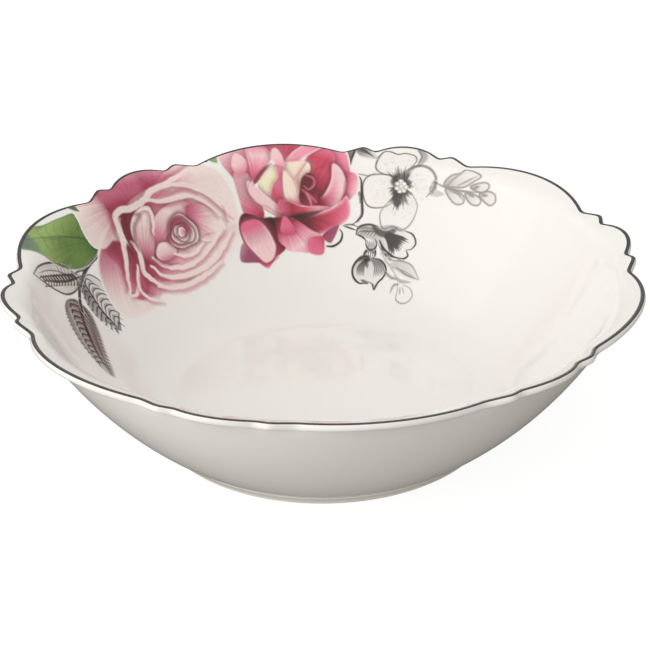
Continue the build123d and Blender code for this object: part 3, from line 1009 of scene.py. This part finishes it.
for points, width, tone, strength in (
    ([(19, 18), (23, 13), (28, 9.5)], 1.8, maroon, 0.75),
    ([(33, 34), (38, 33.7), (44, 33), (49, 31.8)], 2.0, blackish, 0.85),
    ([(22, 33), (24, 38), (25.5, 44), (29, 48)], 2.0, maroon, 0.55),
    ([(41.5, 15.5), (45, 17), (45.5, 20), (43, 22), (41, 20.5)], 0.9, coral, 0.75),
    ([(40, 22), (43, 24.5), (46.5, 28)], 0.9, coral, 0.8),
    ([(42, 24), (43.5, 27), (44, 29.5)], 0.7, pink, 0.7),
    ([(44, 14), (49, 12), (52, 8)], 0.9, crimson, 0.5),
    ([(33, 13), (36.5, 17.5), (38, 23), (38.3, 28)], 0.7, coral, 0.6),
    ([(36.5, 17.5), (39, 14.5), (42, 11)], 0.7, coral, 0.6),
    ([(33, 12), (33.5, 9.5), (41, 9), (43, 7)], 0.8, pink, 0.7),
    ([(17, 17), (16, 21), (19, 26), (24, 30.5), (29, 34)], 0.8, crimson, 0.6),
    ([(20, 27), (23, 28), (27, 31), (31, 33)], 0.8, blackish, 0.35),
    ([(14, 52), (18, 54), (21, 53.5), (26, 51.5)], 1.1, crimson, 0.8),
    ([(59, 18), (58.5, 25), (56, 29)], 1.0, crimson, 0.6),
):
    stroke(bloom, points, width, tone, strength, (0.3, 0.2), 0.6)
lay(bloom, "crimson_rose", "crimson_rose_print", fired_print("crimson_inks"), 2)

# ---------------------------------------------------------------------------------------------
# The green leaf. A rose leaf in yellow-green and bottle-green inks, half hidden by the pink rose,
# with a dark midrib and side veins.
# ---------------------------------------------------------------------------------------------
leaf_dark, leaf_mid, leaf_light = (0.26, 0.38, 0.18), (0.40, 0.53, 0.23), (0.56, 0.68, 0.36)
leaf = Sheet(178, 11, 53, 0, 28, 0.28, 13)
petal(leaf, [(12.5, -5), (15, 7), (21, 17), (30, 24), (40, 26.5), (51.5, 23), (51.5, 7), (43, 3.5),
             (33, 1), (26, -5)],
      (51, 20), (16, -1), [leaf_dark, leaf_mid, leaf_mid, leaf_light, (0.47, 0.56, 0.43)], veins=0.3)
petal(leaf, [(20, 0), (28, 1.5), (36, 2.5), (44, 4.5), (50.5, 8), (50.5, 18), (42, 13.5), (32, 9), (25, 5.5)],
      (46, 18), (38, 2), [leaf_mid, leaf_mid, (0.50, 0.60, 0.31), leaf_light], veins=0.3, soft=0.7)
petal(leaf, [(18, 9), (24, 7), (31, 11), (34, 16), (29, 19), (22, 15)],
      (33, 17), (20, 9), [leaf_mid, (0.50, 0.60, 0.33), leaf_light], veins=0.3, soft=1.8, fade=(0.5, 0.9))
petal(leaf, [(14, -5), (24, -5), (22, 3), (17, 8), (15, 4)],
      (21, 6), (15, -3), [(0.47, 0.57, 0.42), (0.38, 0.48, 0.38), (0.45, 0.54, 0.44)], veins=0.2, soft=0.8)
petal(leaf, [(34, 20), (42, 18.5), (51, 19.5), (51, 23.5), (42, 26), (36, 24.5)],
      (50, 22), (34, 22), [leaf_dark, leaf_mid, leaf_mid], veins=0.3, soft=1.0)
stroke(leaf, [(20, 0), (27, 6), (35, 11), (43, 15), (51, 19.5)], 1.3, leaf_dark, 0.75, (0.3, 1), 0.5)
stroke(leaf, [(21, 0.6), (28, 6.8), (36, 12), (43, 15.8)], 0.5, leaf_light, 0.45, (0.5, 0.4), 0.3)
for k in range(7):
    x, y = 26 + 3.6 * k, 5.6 + 1.85 * k
    stroke(leaf, [(x, y), (x + 1.5, y - 3.2), (x + 4.6, y - 5.4)], 0.5, leaf_dark, 0.35, (1, 0.2), 0.35)
    stroke(leaf, [(x, y), (x - 2.5, y + 2.8), (x - 3.2, y + 6.4)], 0.55, leaf_dark, 0.4, (1, 0.2), 0.35)
lay(leaf, "green_leaf", "green_leaf_print", fired_print("green_inks"), 0)

# ---------------------------------------------------------------------------------------------
# The outlined leaf. A leaf left white inside a pen outline, hatched along its midrib, with the
# stem that ties the left-hand leaves to the roses. Sepia-black ink, as in an old engraving.
# ---------------------------------------------------------------------------------------------
ink_black, ink_brown = (0.20, 0.16, 0.15), (0.36, 0.31, 0.29)
ink_grey, ink_pale = (0.55, 0.53, 0.51), (0.76, 0.74, 0.72)
ink_faint = (0.87, 0.85, 0.83)
ink_fired = fired_print("sepia_inks")


def pen(sheet, points, width, strength=0.85, tone=ink_black, taper=(0.4, 0.3), soft=0.32):
    """A pen line in sepia ink."""
    stroke(sheet, points, width * 1.3, tone, min(1, strength * 1.3), taper, soft)


sprig = Sheet(178, -3, 52, 7, 41, 0.24, 14)
petal(sprig, [(0, 10), (8, 11), (16, 13.5), (23, 18), (28, 24), (32, 28.3), (24, 30.5), (17, 29.5),
              (9, 23), (4, 16)],
      (30, 28), (2, 12), [ink_grey, ink_pale, ink_pale], fade=(0.6, 0.35), soft=0.7)
pen(sprig, [(0, 10), (8, 10.7), (16, 13.5), (22, 17), (27, 22.5), (30, 27)], 0.75)
pen(sprig, [(0, 10), (4, 16), (9, 23), (14, 28), (20, 30.3), (26, 30.3), (32, 28.3)], 0.7)
pen(sprig, [(5, 12.3), (13, 15.5), (20, 20), (26, 26)], 0.45, 0.6)
pen(sprig, [(5, 16), (13, 21), (22, 25.5), (32, 28.3)], 1.0)
for k in range(12):
    x, y = 5.5 + 2.0 * k, 16.2 + 1.0 * k
    pen(sprig, [(x, y), (x - 0.4, y - 2.0), (x - 2.4, y - 2.6 - 0.03 * k)], 0.75 + 0.03 * k, 0.75,
        taper=(1, 0.1))
    pen(sprig, [(x + 0.5, y), (x - 1.0, y + 2.0), (x - 3.0, y + 1.6 + 0.06 * k)], 0.7, 0.7, taper=(1, 0.1))
    pen(sprig, [(x + 1.5, y - 1), (x + 2.6, y - 4.2), (x + 1.6, y - 6.4)], 0.35, 0.45)
for k in range(6):
    x = 19 + 1.5 * k
    pen(sprig, [(x + 1, 17.5 + 1.8 * k), (x + 1.6, 21 + 1.3 * k), (x + 3.5, 23.5 + 0.8 * k)], 0.35, 0.5)
pen(sprig, [(51, 26), (43, 26.6), (37, 27.6), (32, 29), (26, 31), (20, 34.5), (16, 38)], 1.4, 0.85,
    taper=(0.8, 1))
pen(sprig, [(37, 27.8), (33, 26), (29, 25.5)], 1.0, 0.7)
pen(sprig, [(34, 28.6), (29, 29.4), (24, 32.6)], 1.5, 0.6, ink_brown)
lay(sprig, "outlined_leaf", "outlined_leaf_print", ink_fired, 0)

# ---------------------------------------------------------------------------------------------
# The banded leaf. A serrated leaf hanging from the same stem, in curved bands of grey wash
# between pen lines. It is printed with the same sepia-black screen.
# ---------------------------------------------------------------------------------------------
banded = Sheet(178, 20, 43, 27.5, 58, 0.22, 15)
petal(banded, [(31, 29), (36, 29.5), (40, 33), (41, 38), (39.5, 44), (39, 49.5), (34, 53), (30.5, 56),
               (26.5, 51), (23, 46), (22, 40), (24.5, 34)],
      (31, 30), (30, 56), [ink_pale, ink_pale, ink_grey], fade=(0.55, 0.55), soft=0.5)
petal(banded, [(31, 29), (26, 33), (23, 39), (23, 46), (27, 51.5), (30, 55.5), (29, 47), (29.5, 38)],
      (29, 36), (24, 46), [ink_brown, ink_grey, ink_grey], fade=(0.75, 0.6), soft=0.9)
pen(banded, [(31.5, 29), (30, 37), (29, 46), (30.3, 56)], 0.9, 0.85)
for k in range(9):
    y = 31.5 + 2.8 * k
    wide = 9.4 * math.sin(math.pi * min(0.97, (k + 1.6) / 10.5)) ** 0.6
    pen(banded, [(30.6 - 0.15 * k, y + 1.4), (32.5, y - 0.9), (30.8 + wide * 0.62, y - 0.6),
                 (30.5 + wide, y + 2.2)], 0.5, 0.75)
    pen(banded, [(31, y + 0.4), (33, y - 1.7), (31 + wide * 0.55, y - 1.6)], 0.85, 0.4, ink_brown)
    pen(banded, [(30.2 - 0.15 * k, y + 1.2), (27.5, y - 0.6), (30.2 - wide * 0.75, y + 1.6)], 0.65, 0.7)
    for j in range(4):
        x = 30.3 - wide * (0.2 + 0.18 * j)
        pen(banded, [(x, y - 0.8 + 0.4 * j), (x - 0.8, y + 1.4 + 0.4 * j)], 0.35, 0.55)
    pen(banded, [(30.2 - wide * 0.75, y + 1.6), (30.2 - wide * 0.86, y + 0.8)], 0.6, 0.6)
pen(banded, [(31, 29), (37, 30), (40.8, 34.5), (40.8, 38)], 0.5, 0.7)
pen(banded, [(39, 49.5), (34.5, 52.5), (30.3, 56)], 0.6, 0.75)
lay(banded, "banded_leaf", "banded_leaf_print", ink_fired, 0)

# ---------------------------------------------------------------------------------------------
# The feathered leaf. A dark, feather-veined leaf with a shaggy edge, running down and round to
# the left, in dense sepia-black ink with the veins left pale.
# ---------------------------------------------------------------------------------------------
feather = Sheet(178, -12, 22, 28, 63, 0.24, 16)
petal(feather, [(19, 35), (15, 31), (8, 30), (2, 33), (-5, 41), (-10, 52), (-11, 61), (-4, 60), (5, 55),
                (13, 50), (19, 43)],
      (19, 34), (-8, 60), [ink_black, ink_brown, ink_brown, ink_grey], fade=(0.85, 0.7), soft=0.8)
for k in range(11):
    share = k / 11
    x, y = 17 - 25 * share, 35.5 + 21 * share
    long = 11 * (1 - 0.55 * share)
    stroke(feather, [(x, y), (x - long * 0.5, y - long * 0.42), (x - long, y - long * 0.1)], 1.0,
           ink_pale, 0.6, (0.2, 0.6), 0.45)
    pen(feather, [(x, y + 0.9), (x - long * 0.5, y - long * 0.33), (x - long * 0.98, y + long * 0.04)],
        0.9, 0.75)
    stroke(feather, [(x + 0.6, y), (x - 0.6, y + long * 0.5), (x - 3, y + long * 0.92)], 0.8, ink_pale,
           0.5, (0.2, 0.5), 0.4)
    pen(feather, [(x + 1.4, y), (x + 0.6, y + long * 0.5), (x - 1.6, y + long * 0.95)], 0.75, 0.7)
pen(feather, [(20, 34.5), (14, 38), (6, 45), (-3, 53), (-9, 60)], 1.5, 0.85, taper=(1, 0.3))
edge_line = soft_line([(19, 36), (19.5, 42), (14, 49), (6, 54.5), (-3, 59.5), (-10, 61.5)], steps=9)
for x, y in edge_line[::2]:
    pen(feather, [(x - 1.2, y - 1.6), (x + 0.3, y), (x + 0.2, y + 1.4)], 0.5, 0.65)
edge_line = soft_line([(17, 32.5), (12, 30), (6, 30.8), (0, 35), (-6, 43), (-10, 53)], steps=9)
for x, y in edge_line[::2]:
    pen(feather, [(x + 1.2, y + 1.4), (x, y), (x - 1.2, y - 0.2)], 0.5, 0.6)
lay(feather, "feathered_leaf", "feathered_leaf_print", ink_fired, 0)

# ---------------------------------------------------------------------------------------------
# The blossom. An open four-petalled flower in pen outline with stippled petals, a beaded centre
# and dense radiating hatching round it. Sepia-black ink, thinning to grey on the right.
# ---------------------------------------------------------------------------------------------
blossom = Sheet(90, 9, 52, 0, 41, 0.22, 17)
heart = np.array([35.0, 19.0])
for points, tone, width in (
    ([(33, 15), (27, 14.5), (23, 12), (24, 6), (25.5, 3), (28, 3), (31, 4.2), (34, 3.2), (38, 4),
      (39.5, 7), (37, 12)],
     ink_brown, 0.6),
    ([(33.5, 19), (31, 15), (26, 14.5), (20.5, 15.5), (18, 19), (18.5, 25), (21, 29), (26, 29.5),
      (31, 27.5), (33, 23)],
     ink_brown, 0.55),
    ([(36, 17), (36, 12.5), (41, 9), (46, 9.5), (49.5, 13), (49.5, 18), (47, 22)], ink_grey, 1.0),
    ([(33, 24), (29, 28), (27, 32), (28, 37), (30, 38.5), (34, 37.2), (38, 38.3), (41.5, 36), (43.5, 31),
      (43.5, 26), (40, 21.5)],
     ink_grey, 0.55),
):
    tip = np.mean(points, axis=0) * 2 - heart
    wash = [ink_pale, (0.86, 0.84, 0.81), (0.88, 0.87, 0.84)]
    petal(blossom, points, heart, tip, wash, fade=(0.35, 0.1), soft=0.6)
    stroke(blossom, points, width * 1.25, tone, 0.95, (0.4, 0.4), 0.35)
for count, first, gap, low, high, long, short in (
    (46, 200, 3.6, 215, 300, (5, 9.5), (3.5, 6)),
    (44, 25, 3.3, 60, 125, (6, 12), (4, 6.5)),
):
    for k in range(count):
        turn = first + gap * k + blossom.dice.uniform(-1.5, 1.5)
        out = np.array([math.cos(math.radians(turn)), math.sin(math.radians(turn))])
        far = blossom.dice.uniform(*(long if low < turn < high else short))
        pen(blossom, [heart + 2.8 * out, heart + far * 0.7 * out, heart + far * out], 0.42, 0.6,
            taper=(1, 0.1))
stroke(blossom, [(33.5, 22.5), (34, 25.5), (34.5, 28.5)], 4.0, ink_black, 0.95, (1, 0.2), 0.9)
stroke(blossom, [(33, 14), (31, 17), (32.3, 19.5)], 2.2, ink_black, 0.9, (0.4, 0.6), 0.8)
stroke(blossom, [(36.5, 14.5), (38, 11.5), (40, 9)], 1.4, ink_black, 0.55, (1, 0.2), 0.8)
for k in range(7):
    turn = math.radians(51 * k)
    x, y = heart + np.array([2.1 * math.cos(turn), 2.3 * math.sin(turn)]) * (k < 6)
    stroke(blossom, [(x - 0.25, y), (x + 0.25, y)], 1.7, (0.93, 0.92, 0.89), 1.0, soft=0.3)
    bead = [(x + 0.85 * math.cos(a), y + 0.85 * math.sin(a)) for a in np.arange(0, 6.2, 0.9)]
    stroke(blossom, bead, 0.3, ink_brown, 0.7, closed=True)
for k in range(260):
    turn, far = blossom.dice.uniform(0, 2 * math.pi), blossom.dice.uniform(5, 14)
    x, y = heart + far * np.array([math.cos(turn), math.sin(turn)])
    stroke(blossom, [(x, y), (x + 0.2, y + 0.1)], 0.3, ink_grey, 0.3, soft=0.25)
stroke(blossom, [(38.5, 0), (41, 4), (40.5, 9.5)], 1.0, ink_black, 0.7, (1, 0.4), 0.5)
stroke(blossom, [(40, 0), (42.5, 4), (41.5, 9)], 2.0, ink_black, 0.55, (1, 0.3), 1.0)
pen(blossom, [(14.5, 15.5), (16.8, 17.3), (17.5, 22), (18, 27), (18.6, 33), (16.5, 36), (14, 38)], 0.9, 0.8)
stroke(blossom, [(16.4, 23.5), (17.2, 24.8), (17.6, 27.5)], 1.5, ink_black, 0.75, soft=0.5)
stroke(blossom, [(18.2, 29), (18.3, 33), (16.8, 36)], 1.2, ink_black, 0.7, soft=0.5)
pen(blossom, [(15, 15), (18, 15.4), (20.5, 15.6)], 0.5, 0.5)
pen(blossom, [(10, 38), (14, 37.8), (17, 38.6)], 0.5, 0.7)
lay(blossom, "blossom", "blossom_print", ink_fired, 0)

# ---------------------------------------------------------------------------------------------
# The rim leaf. The dark tip of a leaf that the rim cuts off, above and left of the blossom, in
# dense sepia-black ink.
# ---------------------------------------------------------------------------------------------
rim_leaf = Sheet(90, 8, 24, 0, 12.5, 0.22, 18)
petal(rim_leaf, [(8.5, -3), (15, -3), (14, 3), (12.8, 8), (12, 11.3), (9.5, 6)], (12, -2), (12, 11),
      [ink_brown, ink_brown, ink_black], fade=(0.75, 0.85))
petal(rim_leaf, [(13, -3), (18, -2), (20, 3), (23.5, 7.5), (18, 7.3), (14.5, 5)], (14, 2), (22, 6),
      [ink_black, ink_brown, ink_grey], fade=(0.85, 0.4), soft=0.8)
for k in range(6):
    pen(rim_leaf, [(13.3 + 0.4 * k, 0.6 + 0.6 * k), (15.6 + 0.8 * k, 1.4 + 0.8 * k),
                   (18.4 + 0.7 * k, 3.4 + 0.8 * k)], 0.4, 0.6)
    pen(rim_leaf, [(12.8, 1 + 1.2 * k), (10.6, 1.4 + 1.3 * k), (9.6, 2.2 + 1.0 * k)], 0.4, 0.5)
pen(rim_leaf, [(13.6, -2), (13.2, 4), (12.1, 11)], 0.7)
lay(rim_leaf, "rim_leaf", "rim_leaf_print", ink_fired, 0)

# ---------------------------------------------------------------------------------------------
# The trumpet flower. Two long-lobed flowers side by side under the blossom, with a solid dark
# throat and long hatching along the lobes, and a small calyx. Sepia-black ink.
# ---------------------------------------------------------------------------------------------
trumpet = Sheet(90, -1, 49, 36, 53, 0.22, 19)
petal(trumpet, [(16.5, 41.5), (18, 38.5), (23, 37.5), (28, 38), (34, 37), (40, 38.5), (45.5, 40),
                (46.8, 44), (44, 47), (44, 50), (40, 51), (34, 49.5), (29, 46), (24, 44), (20, 43)],
      (28, 41), (46, 47), [ink_grey, ink_pale, ink_faint], fade=(0.5, 0.15), soft=0.6)
for points, width in (
    ([(40, 38.3), (44.5, 39.5), (47, 43), (45.5, 46), (43.3, 46.6)], 0.7),
    ([(43, 46.8), (44.5, 49.3), (42, 51), (38, 50.6)], 0.8),
    ([(16.4, 42), (17.5, 38.8), (22, 37.3), (27, 37.8)], 0.8),
    ([(16.4, 42), (19.5, 43), (22, 44.8)], 0.7),
    ([(0, 47.5), (5, 47.8), (8.8, 45.5), (9.6, 42), (8, 39.8)], 0.9),
    ([(9, 38), (13, 39.3), (16.6, 40.3)], 0.6),
):
    pen(trumpet, points, width, 0.8)
stroke(trumpet, [(24.5, 38), (28, 40.5), (32, 41), (36, 41.5)], 3.2, ink_black, 0.9, (0.5, 0.4), 0.7)
stroke(trumpet, [(31, 41.5), (33.5, 39.8), (36, 38)], 2.6, ink_black, 0.85, (0.6, 0.5), 0.7)
stroke(trumpet, [(17.5, 39.5), (21, 38.9), (25, 39.4)], 1.1, ink_black, 0.6, (0.3, 1), 0.5)
for k in range(12):
    lean = math.radians(6 + 5.2 * k)
    out = np.array([math.cos(lean), math.sin(lean)])
    root = np.array([30.5, 40.8])
    far = 12.5 - 0.25 * k + trumpet.dice.uniform(-1, 1)
    pen(trumpet, [root + 1.5 * out, root + far * 0.5 * out + (0.3, -0.2), root + far * out],
        0.75 if k % 3 else 1.2, 0.75, taper=(1, 0.1))
pen(trumpet, [(28.5, 44), (31, 47.5), (35, 50), (39, 51)], 1.2, 0.85)
for k in range(6):
    pen(trumpet, [(17 + 1.6 * k, 41.6 + 0.25 * k), (19 + 1.5 * k, 40.4), (22 + 1.2 * k, 40.2)], 0.45, 0.6)
pen(trumpet, [(21.5, 44.5), (22.2, 47), (24, 48.6), (26.5, 48), (27.3, 45.5), (26, 43.4)], 0.7, 0.8)
for k in range(5):
    pen(trumpet, [(22.4 + k, 44.6), (23 + 0.8 * k, 46.4), (23.4 + 0.7 * k, 48)], 0.4, 0.6)
pen(trumpet, [(28.3, 46), (31, 49), (36, 52.6)], 0.6, 0.6)
lay(trumpet, "trumpet_flower", "trumpet_flower_print", ink_fired, 0)

# ---------------------------------------------------------------------------------------------
# The bud. A round, heart-shaped bud hanging from the calyx, dark at its shoulders and point,
# with curved hatching down its sides. Sepia-black ink.
# ---------------------------------------------------------------------------------------------
bud = Sheet(90, 14, 38, 47, 69, 0.22, 20)
petal(bud, [(24, 51), (19, 52.5), (16.2, 56.5), (16.6, 61), (20, 64), (25, 64.4), (28, 64), (30, 66.8),
            (32, 63), (35, 59.5), (34, 55), (30.5, 52.5), (27, 52)],
      (22, 50), (29, 66), [ink_grey, ink_pale, ink_faint], fade=(0.65, 0.2), soft=0.5)
pen(bud, [(24, 51.5), (19.5, 52.8), (16.3, 57), (16.8, 61.3), (20.5, 64.2), (25.5, 64)], 0.9)
pen(bud, [(26, 52.3), (31, 53), (34.5, 56.5), (34, 60.2), (31.3, 63.5), (30, 66.6), (28.2, 64.2),
          (25.5, 63.2)], 0.8)
stroke(bud, [(18.5, 54), (21.5, 52.4), (25, 53.2)], 2.4, ink_black, 0.85, (0.5, 0.6), 0.7)
stroke(bud, [(24, 52.5), (23.6, 55), (24.3, 57)], 1.8, ink_black, 0.8, (1, 0.2), 0.6)
stroke(bud, [(21.5, 62.8), (23.8, 63.4), (25.6, 64)], 1.5, ink_black, 0.8, (0.3, 0.6), 0.5)
stroke(bud, [(28.6, 64), (29.8, 65.3), (31.2, 64)], 1.2, ink_black, 0.6, (0.5, 0.5), 0.5)
for k in range(7):
    bow = (k - 3) * 1.0
    pen(bud, [(22.4 + 0.25 * k, 53), (20.6 + bow * 0.6, 57), (21 + bow * 0.6, 60.6)], 0.5, 0.6,
        taper=(1, 0.2))
for k in range(6):
    pen(bud, [(26 + 0.9 * k, 53), (28.2 + 1.0 * k, 56.6), (28.4 + 0.9 * k, 61 - 0.3 * k)], 0.55, 0.6,
        taper=(1, 0.2))
pen(bud, [(22.8, 48.6), (21.6, 50.4), (21.8, 52.2)], 0.8)
pen(bud, [(27, 48), (27.4, 50.4), (26.8, 52.2)], 0.7)
stroke(bud, [(22.5, 49.5), (24.5, 49), (26.8, 49.6)], 1.5, ink_black, 0.75, soft=0.6)
for k in range(4):
    pen(bud, [(22.6 + 1.2 * k, 49.4), (22.4 + 1.2 * k, 51.8)], 0.45, 0.6)
lay(bud, "bud", "bud_print", ink_fired, 0)

# ---------------------------------------------------------------------------------------------
# The faded sprig. A leaf and two small buds behind the round bud, printed so lightly in grey
# that they fade into the glaze.
# ---------------------------------------------------------------------------------------------
faded = Sheet(90, 30, 57, 47, 73, 0.24, 21)
petal(faded, [(36, 54), (42, 52), (48, 53.5), (54, 58.5), (48, 59), (41, 57)], (36, 55), (54, 58),
      [ink_grey, ink_pale], fade=(0.55, 0.3), soft=0.8)
for points, width, strength in (
    ([(30, 49.5), (35, 54), (41, 58.8)], 1.0, 0.35),
    ([(31, 48.8), (37, 52.2), (42, 52), (48, 53.2), (54.3, 58.6)], 0.7, 0.6),
    ([(40, 55), (46, 57.6), (54, 58.8)], 0.9, 0.65),
    ([(38, 55.4), (44, 56.2), (50, 57.6)], 0.5, 0.5),
    ([(34, 57.5), (38, 60), (42, 60.5)], 1.3, 0.5),
    ([(40, 59), (44, 61), (50, 60.8)], 1.6, 0.4),
    ([(40, 67), (41, 63.5), (44, 62.5)], 1.2, 0.5),
    ([(43, 62.5), (44, 66), (44.5, 69.5), (48, 71), (52, 70), (53.8, 66.6), (51, 63.5), (46.5, 62.6)],
     0.6, 0.6),
    ([(45, 64), (46, 67)], 1.1, 0.4),
    ([(46, 63.5), (48.5, 66.5)], 0.6, 0.4),
):
    stroke(faded, points, width, ink_grey, min(1, strength * 1.7), (0.4, 0.3), 0.45)
lay(faded, "faded_sprig", "faded_sprig_print", ink_fired, 0)

# ---------------------------------------------------------------------------------------------
# The grey sprig. Two leaves and three buds on a short stalk to the right of the blossom, in the
# same light grey.
# ---------------------------------------------------------------------------------------------
grey = Sheet(90, 47, 82, 4, 26, 0.24, 22)
for points, root, tip in (
    ([(54, 15.5), (56, 11), (60, 9), (62, 6.5), (69, 8), (66, 12), (62, 15)], (55, 16), (66, 7)),
    ([(55, 17), (60, 17), (64, 18.5), (64.5, 21.5), (61, 22.5), (57, 20)], (55, 16), (65, 22)),
    ([(66, 14), (69, 11.5), (73, 10.3), (74.5, 12), (72, 15)], (66, 15), (75, 11)),
    ([(71, 16), (74, 13.8), (78, 14), (79.5, 17), (77.5, 19.2), (73.5, 18)], (70, 17), (80, 17)),
    ([(64.5, 17), (69, 16.6), (72.5, 18), (72, 20.5), (69, 21), (66, 19.5)], (64, 17), (73, 20)),
):
    petal(grey, points, root, tip, [ink_grey, ink_pale, (0.85, 0.85, 0.84)], fade=(0.65, 0.3), soft=0.6)
    stroke(grey, points, 0.85, ink_grey, 0.9, (1, 1), 0.4, closed=True)
for points, width, strength in (
    ([(49, 15), (54, 16.2), (60, 16.6), (66, 16), (71, 15)], 1.1, 0.6),
    ([(49.5, 15), (50, 19.5), (54.5, 19.5)], 3.0, 0.3),
    ([(55, 16), (58, 11.5), (60.5, 9.5)], 0.9, 0.5),
    ([(57, 17.5), (61, 18), (64, 20)], 1.0, 0.55),
    ([(60, 14.6), (64, 11.6), (67.5, 8.6)], 0.8, 0.55),
    ([(66, 17), (69, 17.6)], 1.2, 0.55),
    ([(67, 14.4), (70, 12.6)], 1.4, 0.55),
    ([(72, 16), (75, 15.4)], 1.3, 0.55),
):
    stroke(grey, points, width, ink_grey, min(1, strength * 1.6), (0.4, 0.3), 0.45)
lay(grey, "grey_sprig", "grey_sprig_print", ink_fired, 0)

# ---------------------------------------------------------------------------------------------
# The stage: a plain white floor, soft light from the left and a long lens.
# ---------------------------------------------------------------------------------------------
half = 6.0
floor_corners = [(-half, -half, 0), (half, -half, 0), (half, half, 0), (-half, half, 0)]
floor = new_piece("floor", floor_corners, faces=[(0, 1, 2, 3)])
floor_finish, _, shader = material("white_sweep", (0.25, 0.25, 0.25), 0.9)
shader.inputs["Specular IOR Level"].default_value = 0.0
shader.inputs["Emission Color"].default_value = (1, 1, 1, 1)
shader.inputs["Emission Strength"].default_value = 0.86
floor.data.materials.append(floor_finish)
floor.visible_diffuse = False
floor.visible_glossy = False

world = bpy.data.worlds.new("studio")
world.use_nodes = True
tree = world.node_tree
toward_sky = node(tree, "ShaderNodeTexCoord").outputs["Generated"]
height = node(tree, "ShaderNodeSeparateXYZ", {0: toward_sky}).outputs["Z"]
sky = node(tree, "ShaderNodeMapRange", {"Value": height, 1: -0.6, 2: 0.7, 3: 0.0, 4: 1.0}).outputs[0]
glow = mix(tree, sky, (0.20, 0.185, 0.165, 1), (0.82, 0.805, 0.78, 1))
from_left = {0: toward_sky, 1: (-0.8, -0.6, -0.1)}
facing = node(tree, "ShaderNodeVectorMath", from_left, operation="DOT_PRODUCT")
side = maths(tree, "MAXIMUM", facing.outputs["Value"], 0.0)
glow = mix(tree, side, glow, (0.74, 0.73, 0.705, 1), "ADD")
tree.links.new(glow, tree.nodes["Background"].inputs["Color"])
tree.nodes["Background"].inputs["Strength"].default_value = 1.0
bpy.context.scene.world = world

key_place, key_aim = Vector((-1.19, -0.52, 0.75)), Vector((0, 0, 0.04))
key = bpy.data.lights.new("key_left", "AREA")
key.shape = "RECTANGLE"
key.size, key.size_y = 2.0, 1.6
key.energy = 5
lamp = bpy.data.objects.new("key_left", key)
lamp.location = key_place
lamp.rotation_euler = (key_aim - key_place).to_track_quat("-Z", "Y").to_euler()
bpy.context.collection.objects.link(lamp)

camera_target = Vector((0.0005, 0, 0.04082))
camera_distance = 0.78365
camera_height = math.radians(27.505)
camera_roll = -0.0125
back = Vector((0, -math.cos(camera_height), math.sin(camera_height)))
lens = bpy.data.cameras.new("camera")
lens.lens = 109.3
lens.clip_start = 0.01
camera = bpy.data.objects.new("camera", lens)
camera.location = camera_target + back * camera_distance
camera.rotation_euler = (-back).to_track_quat("-Z", "Y").to_euler()
camera.rotation_euler.rotate_axis("Z", camera_roll)
bpy.context.collection.objects.link(camera)
bpy.context.scene.camera = camera
bpy.context.scene.view_settings.view_transform = "Standard"

for helper in (directions, even_directions, inside_guide):
    bpy.data.objects.remove(helper)
